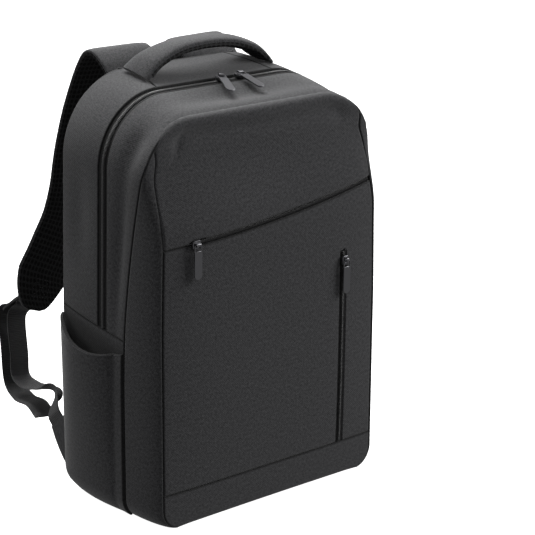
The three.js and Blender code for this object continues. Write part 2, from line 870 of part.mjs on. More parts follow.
// Where the webbing is sewn into the corner tab, low on the back seam.
const tabX = bodyWidth / 2 - backTuck - tabInset;
const tabAngle = tabRise * Math.PI / 180;
const tabAlong = new THREE.Vector3(0, Math.cos(tabAngle), Math.sin(tabAngle));
const tabAcross = new THREE.Vector3(0, -Math.sin(tabAngle), Math.cos(tabAngle));
const tabRoot = new THREE.Vector3(tabX, backY + seamGap * 3, tabHeight);
const tabEnd = tabRoot.clone().addScaledVector(tabAlong, tabReach);

// The route of the web from the lock's two faces down: share of the strap's reach behind the bag, height
// as a share of the lock's, and how far in from the tab's plane.
const mainRoute = [
  { out: 1.11, height: 0.66, inward: 33 },
  { out: 1.05, height: 0.53, inward: 29 },
  { out: 0.86, height: 0.5, inward: 25 },
  { out: 0.58, height: 0.55, inward: 19 },
  { out: 0.33, height: 0.58, inward: 12 },
];
const tailRoute = [
  { out: 1.21, height: 0.66, inward: 30 },
  { out: 1.13, height: 0.46, inward: 27 },
  { out: 0.93, height: 0.4, inward: 22 },
  { out: 0.66, height: 0.42, inward: 16 },
  { out: 0.47, height: 0.38, inward: 11 },
];

function routePoint(row) {
  const lockHeight = strapEnd.at.z;
  return new THREE.Vector3(tabX - row.inward, backY + row.out * strapReach, row.height * lockHeight);
}

// The adjusting web: from the corner tab in a loop out and up behind the lock, forward over its middle
// bar, and down again as the free tail.
function webCurve() {
  const bar = lockBar + lockSlot;
  const below = 2 * bar + webLead;
  return new THREE.CatmullRomCurve3([
    tabEnd.clone().addScaledVector(tabAlong, seamGap),
    tabEnd.clone().addScaledVector(tabAlong, webWidth * 0.4),
    ...mainRoute.map(routePoint).reverse(),
    lockPoint(below, 0, -bendRadius - webLoop),
    lockPoint(below - webLead, 0, -bendRadius),
    ...halfTurn(bar, 1, -1),
    lockPoint(below - webLead, 0, bendRadius),
    lockPoint(lockLength, 0, bendRadius + webLoop),
    ...tailRoute.map(routePoint),
  ], false, 'centripetal');
}

// Across the web: upright at the tab, level along the loop, and in line with the strap's end at the lock.
// The turns are given as shares of the web's length.
const tabTwist = { end: 0.16, span: 0.12 };
const lockTwist = { middle: 0.52, reach: 0.34, span: 0.08 };

function webAcross(t) {
  const level = new THREE.Vector3(1, 0, 0);
  const atTab = smooth((tabTwist.end - t) / tabTwist.span);
  const atLock = smooth((lockTwist.reach - Math.abs(t - lockTwist.middle)) / lockTwist.span);
  return level.lerp(strapEnd.across, atLock).lerp(tabAcross, atTab).normalize();
}

function buildStraps() {
  for (const [label, side] of [['right', 1], ['left', -1]]) {
    const pad = strapLayer(side, 0, strapPadWall, 0);
    addPiece(`strap_pad_${label}`, pad, melange);
    const mesh = strapLayer(side, -strapMeshWall, -2 * seamGap, strapMeshInset);
    addPiece(`strap_mesh_${label}`, mesh, blackMesh);
    const fold = flatBand(patchCurve(), 28, webWidth, webWall, side, () => strapEnd.across);
    addPiece(`strap_patch_${label}`, fold, blackTape);
    addPiece(`ladder_lock_${label}`, lockGeometry(side), blackPlastic);
    const web = flatBand(webCurve(), 48, webWidth, webWall, side, webAcross);
    addPiece(`webbing_${label}`, web, blackTape);
  }
}

// A three-cornered cloth tab that holds the end of the webbing at the lower back corner.
function buildTabs() {
  for (const [label, side] of [['right', 1], ['left', -1]]) {
    const tab = bentBlock(steps(0, 1, 2), [-1, 1], [-0.5, 0.5], (u, v, w) => {
      const root = new THREE.Vector3(tabX, tabRoot.y, tabHeight + v * tabSeam / 2);
      const end = tabEnd.clone().addScaledVector(tabAcross, v * (webWidth / 2 + 1));
      const p = root.lerp(end, u);
      return [side * (p.x + w * tabWall), p.y, p.z];
    });
    addPiece(`corner_tab_${label}`, tab, melange);
  }
}

// Arch of the carrying handle: along is a share of half its span, rise a share of its height.
const handlePath = [
  { along: -1, rise: 0, wall: 0.6, width: 1.1 },
  { along: -0.95, rise: 0.13, wall: 0.7, width: 1.08 },
  { along: -0.8, rise: 0.47, wall: 0.9, width: 1 },
  { along: -0.45, rise: 0.87, wall: 1, width: 0.9 },
  { along: 0, rise: 1, wall: 1, width: 0.88 },
  { along: 0.45, rise: 0.87, wall: 1, width: 0.9 },
  { along: 0.8, rise: 0.47, wall: 0.9, width: 1 },
  { along: 0.95, rise: 0.13, wall: 0.7, width: 1.08 },
  { along: 1, rise: 0, wall: 0.6, width: 1.1 },
];

// How far the top has dropped towards the bag's upper corner at a place across and a depth.
function cornerFall(x, y) {
  const corner = cornerAt(y);
  const flat = bodyWidth / 2 - corner - leanAt(topAt(y));
  const share = Math.max(0, Math.abs(x) - flat) / corner;
  return corner * (1 - Math.sqrt(1 - share * share));
}

function handleFrame(t) {
  const y = backY - handleFromBack;
  const seat = topAt(y) + handleSeat + seamGap;
  const centre = new THREE.CatmullRomCurve3(handlePath.map((row) => {
    const x = handleShift + row.along * handleSpan / 2;
    const fall = cornerFall(x, y) * (1 - row.rise);
    const z = seat - fall + handleWall * row.wall / 2 + row.rise * (handleRise - handleWall / 2);
    return new THREE.Vector3(x, y, z);
  }));
  const point = centre.getPoint(t);
  const along = centre.getTangent(t);
  const up = new THREE.Vector3(-along.z, 0, along.x);
  const rise = readTable(handlePath, 'rise', t);
  const wall = handleWall * readTable(handlePath, 'wall', t);
  return { point, up, rise, wall, width: handleWidth * readTable(handlePath, 'width', t) };
}

// A point of the handle; its feet follow the slope of the bag's top.
function handlePoint(frame, y, out) {
  const slope = (topAt(y) - topAt(frame.point.y)) * (1 - frame.rise);
  return [frame.point.x + frame.up.x * out, y, frame.point.z + frame.up.z * out + slope];
}

function buildHandle() {
  const grip = bentBlock(steps(0, 1, 18), steps(-1, 1, 4), [0, 1], (t, v, w) => {
    const frame = handleFrame(t);
    const round = 1 - handleEdgeRound * Math.abs(v) ** 3;
    const out = (0.5 - w) * frame.wall * (w ? 1 : round);
    return handlePoint(frame, frame.point.y + v * frame.width / 2, out);
  });
  addPiece('handle_grip', grip, melange);
  const liningSteps = steps(handleMeshStart, 1 - handleMeshStart, 13);
  const lining = bentBlock(liningSteps, steps(-1, 1, 4), [0, 1], (t, v, w) => {
    const frame = handleFrame(t);
    const out = -frame.wall / 2 - seamGap - w * handleMeshWall * (1 - 0.4 * v * v);
    return handlePoint(frame, frame.point.y + v * (frame.width / 2 - 0.5), out);
  });
  addPiece('handle_mesh', lining, blackMesh);
}

// The open pocket on the -X side: a cloth wall that stands off the side panel between its seams.
function buildPocket() {
  const lowest = stationCount - 1.4;
  const block = bentBlock(steps(0, 1, 10), steps(0, 1, 7), [0, 1], (k, v, w) => {
    const sag = pocketSag * (Math.sin(Math.PI * k) + pocketFrontSag * k);
    const foot = lerp(baseCornerBack, baseCornerFront, k);
    const seam = lerp(sideSeamBack, sideSeamFront, k);
    const rim = stationCount - 2 - (pocketHeight - sag - foot) / (seam - foot);
    const s = lerp(lowest, rim, v);
    const a = backSeam(s, 0);
    const b = frontSeam(s, 0);
    const share = lerp(0.01, 0.99, k);
    const crown = (sideCrown * Math.sin(Math.PI * share) - dentAt(sideDents, s, share)) * standingShare(a.nz);
    const mouth = Math.max(0, Math.sin(Math.PI * Math.min(1, k * pocketMouthShift)));
    const stand = pocketStand * mouth ** 0.6 * v ** 0.7;
    const out = crown + seamGap * 2 + stand + (1 - w) * pocketWall;
    return [lerp(a.x, b.x, share) + a.nx * out, lerp(a.y, b.y, share), lerp(a.z, b.z, share) + a.nz * out];
  });
  addPiece('side_pocket', block, melange);
}

// A frame on the bag's surface: bar along X, up away from the pull, and out of the cloth.
function surfaceFrame(origin, out) {
  const bar = new THREE.Vector3(1, 0, 0);
  const outward = out.clone().normalize();
  const up = new THREE.Vector3().crossVectors(outward, bar);
  const matrix = new THREE.Matrix4().makeBasis(bar, up, outward);
  return matrix.setPosition(origin);
}

// The slider's body with the bridge that holds the pull's bar. Long is the bridge's width along the bar.
function sliderGeometry(bodyX, bodyY, long, tall) {
  const body = new THREE.BoxGeometry(bodyX, bodyY, sliderWall);
  body.translate(0, 0, -sliderWall / 2);
  const arch = new THREE.Shape();
  const half = tall / 2;
  const height = bridgeHole + bridgeWall;
  arch.moveTo(-half, -0.5);
  arch.lineTo(half, -0.5);
  arch.lineTo(half, height - 0.8);
  arch.lineTo(half - 0.8, height);
  arch.lineTo(-half + 0.8, height);
  arch.lineTo(-half, height - 0.8);
  arch.closePath();
  const hole = new THREE.Path();
  const gap = half - bridgeWall;
  hole.moveTo(-gap, 0.05);
  hole.lineTo(gap, 0.05);
  hole.lineTo(gap, bridgeHole);
  hole.lineTo(-gap, bridgeHole);
  hole.closePath();
  arch.holes.push(hole);
  const bridge = new THREE.ExtrudeGeometry(arch, { depth: long, bevelEnabled: false });
  bridge.translate(0, 0, -long / 2);
  bridge.rotateX(Math.PI / 2);
  bridge.rotateZ(Math.PI / 2);
  return toGeometry(toSolid(body).add(toSolid(bridge)));
}

// The pull: a bar through the bridge, two sides of the eye, and the flat tab with its rounded tip.
function pullGeometry(eyeInside) {
  const half = pullWidth / 2;
  const tip = -pullLength + half;
  const plate = new THREE.Shape();
  plate.moveTo(-half, -eyeLength);
  plate.lineTo(half, -eyeLength);
  plate.absarc(0, tip, half, 0, -Math.PI, true);
  plate.closePath();
  const tab = new THREE.ExtrudeGeometry(plate, { depth: pullWall, bevelEnabled: false, curveSegments: 6 });
  tab.translate(0, 0, -pullWall / 2);
  let pull = toSolid(tab);
  const bar = new THREE.BoxGeometry(eyeInside + 2 * eyeSide, barWall, barWall);
  pull = pull.add(toSolid(bar));
  for (const side of [-1, 1]) {
    const leg = new THREE.BoxGeometry(eyeSide, eyeLength + barWall, barWall);
    leg.translate(side * (eyeInside + eyeSide) / 2, -eyeLength / 2, 0);
    pull = pull.add(toSolid(leg));
  }
  return toGeometry(pull);
}

// Height of the front gusset's outer face along the middle of the top.
function topSurface(y) {
  const frontEdge = zipY - zipWidth / 2;
  const k = (frontEdge - y) / (frontEdge - topSeamY);
  const crown = gussetCrown * Math.sin(Math.PI * k) - dentAt(gussetDents, middleTop, k);
  return lerp(topAt(frontEdge), frontTop, k) + crown;
}

// The four sliders: place on the coil, way out of the cloth, zip along the bar or across it, and turn.
const sliderSeat = coilHeight - zipSink + seamGap;

function buildSliders() {
  const topSlope = Math.atan2(topAt(zipY) - topSurface(zipY - pullLength), pullLength);
  const topOut = new THREE.Vector3(0, -Math.sin(topSlope), Math.cos(topSlope));
  const frontOut = new THREE.Vector3(0, -1, 0);
  const diagonalX = -diagonalStart * bodyWidth / 2 + sliderLength / 2;
  const rows = [
    { name: 'top_left', x: topLeftX, y: zipY, z: topAt(zipY), out: topOut, along: true, yaw: topLeftYaw },
    { name: 'top_right', x: topRightX, y: zipY, z: topAt(zipY), out: topOut, along: true, yaw: topRightYaw },
    {
      name: 'diagonal', x: diagonalX, z: diagonalHeight(diagonalX), out: frontOut, along: true, yaw: 0,
    },
    {
      name: 'vertical', x: verticalZipX, z: verticalZipTop - sliderLength, out: frontOut, yaw: 0,
    },
  ];
  for (const row of rows) {
    const y = row.y ?? panelFace(row.x / panelHalf(row.z), row.z);
    const origin = new THREE.Vector3(row.x, y, row.z).addScaledVector(row.out, sliderSeat + sliderWall);
    const frame = surfaceFrame(origin, row.out);
    frame.multiply(new THREE.Matrix4().makeRotationZ(row.yaw));
    const body = row.along ? [sliderLength, sliderWidth] : [sliderWidth, sliderLength];
    const bridge = row.along ? [saddleWidth, saddleLength] : [loopWidth, loopLength];
    const slider = sliderGeometry(...body, ...bridge);
    slider.applyMatrix4(frame);
    addPiece(`slider_${row.name}`, slider, gunmetal);
    const pull = pullGeometry(pullWidth - 2 * eyeSide);
    pull.translate(0, 0, bridgeHole / 2);
    pull.applyMatrix4(frame);
    addPiece(`pull_${row.name}`, pull, gunmetal);
  }
}

buildGussets();
buildSides();
buildStrips();
buildBase();
buildFrontPanels();
buildMainZip();
buildFrontZips();
buildBackStrips();
buildBack();
buildStraps();
buildTabs();
buildHandle();
buildPocket();
buildSliders();

export default bag;
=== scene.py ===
import json
import math
import bmesh
import bpy
import numpy as np
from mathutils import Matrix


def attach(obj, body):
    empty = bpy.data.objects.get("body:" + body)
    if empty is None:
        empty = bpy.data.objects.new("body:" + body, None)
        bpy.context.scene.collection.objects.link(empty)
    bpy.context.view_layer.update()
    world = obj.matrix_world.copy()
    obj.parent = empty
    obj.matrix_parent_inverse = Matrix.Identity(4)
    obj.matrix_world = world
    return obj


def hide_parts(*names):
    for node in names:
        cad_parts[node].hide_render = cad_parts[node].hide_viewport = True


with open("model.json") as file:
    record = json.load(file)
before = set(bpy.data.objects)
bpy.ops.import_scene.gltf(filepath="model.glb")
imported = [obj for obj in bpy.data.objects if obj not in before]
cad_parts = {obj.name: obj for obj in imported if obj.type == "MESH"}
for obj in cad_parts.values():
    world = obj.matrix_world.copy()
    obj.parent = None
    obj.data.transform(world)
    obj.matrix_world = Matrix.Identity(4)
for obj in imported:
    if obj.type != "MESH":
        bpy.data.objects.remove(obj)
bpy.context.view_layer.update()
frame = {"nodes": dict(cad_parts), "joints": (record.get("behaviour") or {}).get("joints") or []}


# Camera and studio
# The photograph was taken from the bag's left front, a little above it, with a long lens. A pale sweep
# stands behind and under the bag, lit by large soft boxes.
def linear(hex_colour):
    """Turns an sRGB hex colour to linear: ((c + 0.055) / 1.055) ** 2.4 above 0.04045, c / 12.92 below."""
    parts = [int(hex_colour[i:i + 2], 16) / 255 for i in (1, 3, 5)]
    return [((c + 0.055) / 1.055) ** 2.4 if c > 0.04045 else c / 12.92 for c in parts] + [1.0]


def add_node(tree, kind, inputs=None, **settings):
    """Adds one node: settings are its properties, inputs a socket's value or the output that feeds it."""
    made = tree.nodes.new(kind)
    for name, value in settings.items():
        setattr(made, name, value)
    for name, value in (inputs or {}).items():
        if isinstance(value, bpy.types.NodeSocket):
            tree.links.new(value, made.inputs[name])
        else:
            made.inputs[name].default_value = value
    return made


def new_material(name):
    """An empty node material and its output node."""
    material = bpy.data.materials.new(name)
    material.use_nodes = True
    material.node_tree.nodes.clear()
    return material, add_node(material.node_tree, "ShaderNodeOutputMaterial")


def surface(output, inputs):
    """Adds a material's principled shader and joins it to the output node."""
    tree = output.id_data
    shader = add_node(tree, "ShaderNodeBsdfPrincipled", inputs)
    tree.links.new(shader.outputs[0], output.inputs[0])


camera_azimuth = math.radians(-39.85)
camera_elevation = math.radians(17.0)
camera_distance = 2.0487
camera_target = np.array([0.0, 0.0, 0.22])
photo_width = 535.0
focal_pixels = 1979.4
principal_x = 223.1
principal_y = 277.6

back = np.array([
    math.sin(camera_azimuth) * math.cos(camera_elevation),
    -math.cos(camera_azimuth) * math.cos(camera_elevation),
    math.sin(camera_elevation),
])
right = np.array([math.cos(camera_azimuth), math.sin(camera_azimuth), 0.0])
up = np.cross(back, right)
camera_data = bpy.data.cameras.new("camera")
camera_data.sensor_width = 36.0
camera_data.lens = focal_pixels / photo_width * camera_data.sensor_width
camera_data.shift_x = (photo_width / 2 - principal_x) / photo_width
camera_data.shift_y = (principal_y - photo_width / 2) / photo_width
camera_data.clip_end = 20.0
camera = bpy.data.objects.new("camera", camera_data)
place = np.eye(4)
place[:3, 0] = right
place[:3, 1] = up
place[:3, 2] = back
place[:3, 3] = camera_target + back * camera_distance
camera.matrix_world = place.T.tolist()
bpy.context.collection.objects.link(camera)
bpy.context.scene.camera = camera


def soft_box(name, azimuth, elevation, distance, size, power):
    """A square area light at an azimuth and elevation round the bag, facing its middle."""
    a = math.radians(azimuth)
    e = math.radians(elevation)
    towards = np.array([math.sin(a) * math.cos(e), -math.cos(a) * math.cos(e), math.sin(e)])
    side = np.array([math.cos(a), math.sin(a), 0.0])
    data = bpy.data.lights.new(name, "AREA")
    data.shape = "SQUARE"
    data.size = size
    data.energy = power
    light = bpy.data.objects.new(name, data)
    turn = np.eye(4)
    turn[:3, 0] = side
    turn[:3, 1] = np.cross(towards, side)
    turn[:3, 2] = towards
    turn[:3, 3] = camera_target + towards * distance
    light.matrix_world = turn.T.tolist()
    bpy.context.collection.objects.link(light)


paper_glow = 1.0
world_glow = 0.23
studio_reach = 7.0
studio_sides = 48

soft_box("front_box", 55.0, 28.0, 2.6, 1.4, 38.0)
soft_box("top_box", 165.0, 55.0, 2.6, 1.6, 88.0)
soft_box("rim_box", -135.0, 24.0, 2.5, 1.2, 9.0)

world = bpy.data.worlds.new("studio")
world.use_nodes = True
world.node_tree.nodes["Background"].inputs["Color"].default_value = linear("#ffffff")
world.node_tree.nodes["Background"].inputs["Strength"].default_value = world_glow
bpy.context.scene.world = world
bpy.context.scene.view_settings.view_transform = "Standard"


def glowing_paper(name):
    """White paper that glows just enough to come out white, so that the bag's light is its own."""
    material, output = new_material(name)
    surface(output, {
        "Base Color": linear("#e6e6e6"),
        "Roughness": 0.9,
        "Emission Color": linear("#ffffff"),
        "Emission Strength": paper_glow,
    })
    return material


def stage_piece(name, points, faces, material):
    """A piece of the studio: the camera sees it, and it neither lights nor shades the bag."""
    mesh = bpy.data.meshes.new(name)
    mesh.from_pydata(points, [], faces)
    mesh.materials.append(material)
    made = bpy.data.objects.new(name, mesh)
    made.visible_diffuse = False
    made.visible_glossy = False
    made.visible_shadow = False
    bpy.context.collection.objects.link(made)


turns = np.linspace(0, 2 * math.pi, studio_sides + 1)[:-1]
rim = np.stack([np.cos(turns), np.sin(turns), 0 * turns], -1) * studio_reach
floor_face = list(range(studio_sides))
stage_piece("floor", rim.tolist(), [floor_face], glowing_paper("white_background_paper"))
wall_points = np.concatenate([rim, rim + np.array([0, 0, studio_reach])])
wall_faces = [[i, (i + 1) % studio_sides, studio_sides + (i + 1) % studio_sides, studio_sides + i]
              for i in floor_face]
wall_faces.append([studio_sides + i for i in floor_face])
stage_piece("backdrop", wall_points.tolist(), wall_faces, glowing_paper("white_backdrop"))


# Walls of the bag: back gussets, top band, front gusset and side panels
# Cut panels of melange polyester twill, sewn edge to edge inside out and turned, so that every edge rolls
# in to its seam. The outline of the bag is one run of stations, the same for all of them.
body_width = 305.0
body_height = 438.0
base_depth = 154.0
top_depth = 137.0
gusset_depth = 106.0
top_drop = 26.0
top_curve = 1.3
back_tuck = 4.0
side_lean = 6.0
back_corner = 80.0
front_corner = 62.0
base_corner_back = 30.0
base_corner_front = 24.0
side_seam_back = 205.0
side_seam_front = 191.0
strip_top = 374.0
panel_break = 290.0
seam_start = 0.3
front_taper = 12.0
front_foot = 22.0
zip_from_back = 72.0
cloth_wall = 1.6
edge_roll = 1.5
strip_end = 4.5
seam_setback = 6.0
seam_valley = 2.2
valley_share = 0.12
strip_lead = 0.05
strip_blend = 0.3
taper_lead = 6.0
taper_run = 26.0
# Painted shade inside the side pocket: how far the seam field reaches there, and how fast it fades below
# the side seam at the back and at the front.
shade_reach = 2.6
shade_back = 4.0
shade_front = 15.0
both_sides = [("right", 1), ("left", -1)]

back_y = base_depth / 2
front_y = -base_depth / 2
top_seam_y = back_y - top_depth
side_seam_y = back_y - gusset_depth
zip_y = back_y - zip_from_back
front_top = body_height - top_drop
half_width = body_width / 2


def mix(a, b, share):
    """a + (b - a) times the share."""
    return a + (b - a) * share


def ease(share):
    """Turns a share from 0 to 1 smoothly: 3 t^2 - 2 t^3."""
    t = np.clip(share, 0.0, 1.0)
    return t * t * (3 - 2 * t)


def lean(z):
    """How far the sides lean in at a height, growing evenly above the side seam."""
    return side_lean * np.maximum(0.0, (z - side_seam_back) / (body_height - side_seam_back))


def outline(station, half, top, corner, foot, seam):
    """The bag's outline seen from the front: station 0 is the middle of the base, 1 to 2 the lower corner,
    3 the side seam, 4 to 5 the upper corner, 6 the middle of the top, and 6 to 12 the same mirrored."""
    side = np.where(station > 6, -1.0, 1.0)
    s = np.where(station > 6, 12 - station, station)
    low = np.clip(s - 2, -1, 0) * math.pi / 2
    high = np.clip(s - 4, 0, 1) * math.pi / 2
    turns = [s <= 1, s <= 2, s <= 3, s <= 4, s <= 5]
    x = np.select(turns, [
        s * (half - foot),
        half - foot * (1 - np.cos(low)),
        half + 0 * s,
        half + 0 * s,
        half - corner * (1 - np.cos(high)),
    ], (half - corner - lean(top)) * (6 - s))
    z = np.select(turns, [
        0 * s,
        foot * (1 + np.sin(low)),
        mix(foot, seam, s - 2),
        mix(seam, top - corner, s - 3),
        top - corner * (1 - np.sin(high)),
    ], top + 0 * s)
    normal = np.select(turns, [low * 0 - math.pi / 2, low, 0 * s, 0 * s, high], math.pi / 2 + 0 * s)
    x = np.where((s > 1) & (s <= 5), x - lean(z), x)
    return x * side, z, np.cos(normal) * side, np.sin(normal)


def top_at(y):
    """Height of the top: it falls forward as the depth to the power of the top's curve."""
    return body_height - top_drop * np.maximum(0.0, (back_y - y) / top_depth) ** top_curve


def front_seam_y(z):
    """Depth of the gusset's front seam: it falls back with the square of the way up to the strips' top."""
    share = np.clip((z - seam_start * front_top) / (strip_top - seam_start * front_top), 0, 1)
    return mix(side_seam_y, top_seam_y, share ** 2)


def panel_y(z):
    """Depth of the front face's own seam: upright up to its break, then eased back to the top seam."""
    return mix(front_y, top_seam_y, ease((z - panel_break) / (strip_top - panel_break)))


def panel_taper(z):
    """How far the strips draw the front face in: whole up to the strips' top, then none at their point."""
    return front_taper * (1 - ease((z - strip_top + taper_lead) / taper_run))


def back_seam(s):
    """Points and outward directions of the back seam."""
    half = half_width - back_tuck
    x, z, nx, nz = outline(s, half, body_height, back_corner, base_corner_back, side_seam_back)
    return np.stack([x, 0 * x + back_y, z], -1), np.stack([nx, 0 * nx, nz], -1)


def ring_at(y):
    """The outline at one depth between the back seam and the front seam."""
    share = (back_y - y) / gusset_depth
    corner = mix(back_corner, front_corner, (back_y - y) / top_depth)
    seam = mix(side_seam_back, side_seam_front, share)

    def ring(s):
        x, z, nx, nz = outline(s, half_width, top_at(y), corner, base_corner_back, seam)
        return np.stack([x, 0 * x + y, z], -1), np.stack([nx, 0 * nx, nz], -1)
    return ring


def above_strips(s):
    """Share from 0 beside the strips to 1 over the top, where gusset and front panel meet directly."""
    return ease((np.minimum(s, 12 - s) - strip_end + strip_lead) / strip_blend)


def front_seam(s):
    """Points and outward directions of the gusset's front seam."""
    x, z, nx, nz = outline(s, half_width, front_top, front_corner, base_corner_front, side_seam_front)
    y = front_seam_y(z) + seam_setback * above_strips(s)
    return np.stack([x, y, z], -1), np.stack([nx, 0 * nx, nz], -1)


def panel_seam(s):
    """The edge of the front face: the front outline drawn in by the taper of the strips."""
    x, z, nx, nz = outline(s, half_width, front_top, front_corner, base_corner_front, side_seam_front)
    low = (s <= 2) | (s >= 10)
    foot = np.where(low, front_foot, base_corner_front)
    half = half_width - panel_taper(z)
    x, z, nx, nz = outline(s, half, front_top, front_corner, foot, side_seam_front)
    return np.stack([x, panel_y(z), z], -1), np.stack([nx, 0 * nx, nz], -1)


def run_of(points):
    """Run of length along a line of points, 0 at its start."""
    return np.concatenate([[0.0], np.cumsum(np.linalg.norm(np.diff(points, axis=0), axis=1))])


def read_along(at, run, points):
    """Points of a line read off at given runs of length."""
    return np.stack([np.interp(at, run, points[:, i]) for i in range(points.shape[1])], -1)


def spread(length, step, roll=edge_roll):
    """Shares of a length: close together over the rolled edge at both ends, a step apart between them."""
    edge = np.array([0.0, 0.1, 0.3, 0.6, 1.0, 1.5, 2.2]) * roll
    count = max(3, int(round((length - 2 * edge[-1]) / step)))
    middle = np.linspace(edge[-1], length - edge[-1], count + 1)[1:-1]
    return np.concatenate([edge, middle, (length - edge)[::-1]]) / length


def along(ring, first, last, step):
    """Stations of a ring from first to last, spread evenly by its real length."""
    fine = np.linspace(first, last, 3000)
    run = run_of(ring(fine)[0])
    return np.interp(spread(run[-1], step) * run[-1], run, fine)


def unit(v):
    """Vectors divided by their length."""
    return v / np.maximum(np.linalg.norm(v, axis=-1, keepdims=True), 1e-9)


def grid_normals(points):
    """Normals of a grid: the cross product of its two directions."""
    return unit(np.cross(np.gradient(points, axis=0), np.gradient(points, axis=1)))


def edge_distance(points, edges):
    """Distance of each grid point to the nearest of the chosen edges, low and high in each direction."""
    rims = [points[0], points[-1], points[:, 0], points[:, -1]]
    chosen = [rim for rim, used in zip(rims, edges) if used]
    if not chosen:
        return np.full(points.shape[:2], 1e3)
    line = np.concatenate(chosen)[None]
    flat = points.reshape(-1, 1, 3)
    nearest = [np.sqrt(((part - line) ** 2).sum(-1)).min(1) for part in np.array_split(flat, 40)]
    return np.concatenate(nearest).reshape(points.shape[:2])


def lengths(points, axis):
    """Run of length along one direction of a grid."""
    step = np.linalg.norm(np.diff(points, axis=axis), axis=-1)
    start = np.zeros_like(np.take(step, [0], axis=axis))
    return np.cumsum(np.concatenate([start, step], axis=axis), axis=axis)


def build(name, points, faces, material, uv=None, seam=None, sharp=40.0):
    """A mesh object from points in mm and faces, with its cloth map and its distance to the seams."""
    mesh = bpy.data.meshes.new(name)
    mesh.from_pydata((points * 0.001).tolist(), [], faces if isinstance(faces, list) else faces.tolist())
    if uv is not None:
        corner = np.empty(len(mesh.loops), dtype=np.int32)
        mesh.loops.foreach_get("vertex_index", corner)
        layer = mesh.uv_layers.new(name="cloth")
        layer.data.foreach_set("uv", (uv * 0.001)[corner].astype(np.float32).ravel())
    # The seam field drives the painted shade that the melange material puts along the seams.
    if seam is not None:
        field = mesh.attributes.new("seam", "FLOAT", "POINT")
        field.data.foreach_set("value", (seam * 0.001).astype(np.float32))
    mesh.polygons.foreach_set("use_smooth", np.ones(len(mesh.polygons), dtype=bool))
    mesh.set_sharp_from_angle(angle=math.radians(sharp))
    mesh.materials.append(material)
    made = bpy.data.objects.new(name, mesh)
    bpy.context.collection.objects.link(made)
    return made


def shell(outer, wall, edges, flip, roll=edge_roll, facing=None):
    """Closes a grid into a wall: chosen edges roll in on a quarter circle, the inner face lies a wall's
    thickness behind the outer one, and a rim joins the two. Gives points, faces, cloth map and seam field.
    With facing, the wall lies straight behind its face in that one direction."""
    normal = grid_normals(outer) * (-1 if flip else 1)
    if facing is not None:
        normal = np.broadcast_to(facing, outer.shape)
    distance = edge_distance(outer, edges)
    inside = np.clip(roll - distance, 0, roll)
    face = outer - normal * (roll - np.sqrt(roll ** 2 - inside ** 2))[..., None]
    rows, columns = outer.shape[:2]
    points = np.concatenate([face.reshape(-1, 3), (face - normal * wall).reshape(-1, 3)])
    first = np.arange(rows - 1)[:, None] * columns + np.arange(columns - 1)[None]
    quads = np.stack([first, first + columns, first + columns + 1, first + 1], -1).reshape(-1, 4)
    number = np.arange(rows * columns).reshape(rows, columns)
    loop = np.concatenate([number[0, :-1], number[:-1, -1], number[-1, :0:-1], number[:0:-1, 0]])
    after = np.roll(loop, -1)
    rim = np.stack([loop, after, after + rows * columns, loop + rows * columns], -1)
    faces = np.concatenate([quads, quads[:, ::-1] + rows * columns, rim])
    if flip:
        faces = faces[:, ::-1]
    uv = np.stack([lengths(outer, 1), lengths(outer, 0)], -1).reshape(-1, 2)
    field = distance.reshape(-1)
    return points, faces, np.concatenate([uv, uv]), np.concatenate([field, field])


def bump(tree, height, strength, distance):
    """A bump node's normal: strength is its share, distance the height of a full step in metres."""
    made = add_node(tree, "ShaderNodeBump", {"Height": height, "Strength": strength, "Distance": distance})
    return made.outputs["Normal"]


melange, melange_out = new_material("melange_polyester_twill")
# Polyester twill of dark and light grey heather yarn, matt, with a fine grain and a faint sheen at grazing
# angles. The real yarn is 0.3 mm, drawn here at about 1 mm so that its grain shows at this size.
tree = melange.node_tree
cloth_map = add_node(tree, "ShaderNodeUVMap", uv_map="cloth")
weft = add_node(tree, "ShaderNodeMapping", {
    "Vector": cloth_map.outputs["UV"],
    "Scale": (1.0, 0.45, 1.0),
})
yarn = add_node(tree, "ShaderNodeTexNoise", {
    "Vector": weft.outputs[0],
    "Scale": 1100.0,
    "Detail": 2.0,
    "Roughness": 0.6,
})
heather = add_node(tree, "ShaderNodeTexNoise", {
    "Vector": cloth_map.outputs["UV"],
    "Scale": 320.0,
    "Detail": 3.0,
    "Roughness": 0.65,
})
twill = add_node(tree, "ShaderNodeTexWave", {
    "Vector": cloth_map.outputs["UV"],
    "Scale": 260.0,
    "Distortion": 1.2,
    "Detail": 1.0,
    "Detail Scale": 1.5,
}, wave_type="BANDS", bands_direction="DIAGONAL")
grain = add_node(tree, "ShaderNodeMix", {
    "Factor": 0.45,
    2: yarn.outputs["Fac"],
    3: heather.outputs["Fac"],
}, data_type="FLOAT")
tone = add_node(tree, "ShaderNodeValToRGB", {"Fac": grain.outputs[0]})
tone.color_ramp.elements[0].position = 0.4
tone.color_ramp.elements[0].color = linear("#28282a")
tone.color_ramp.elements[1].position = 0.62
tone.color_ramp.elements[1].color = linear("#4c4c4e")
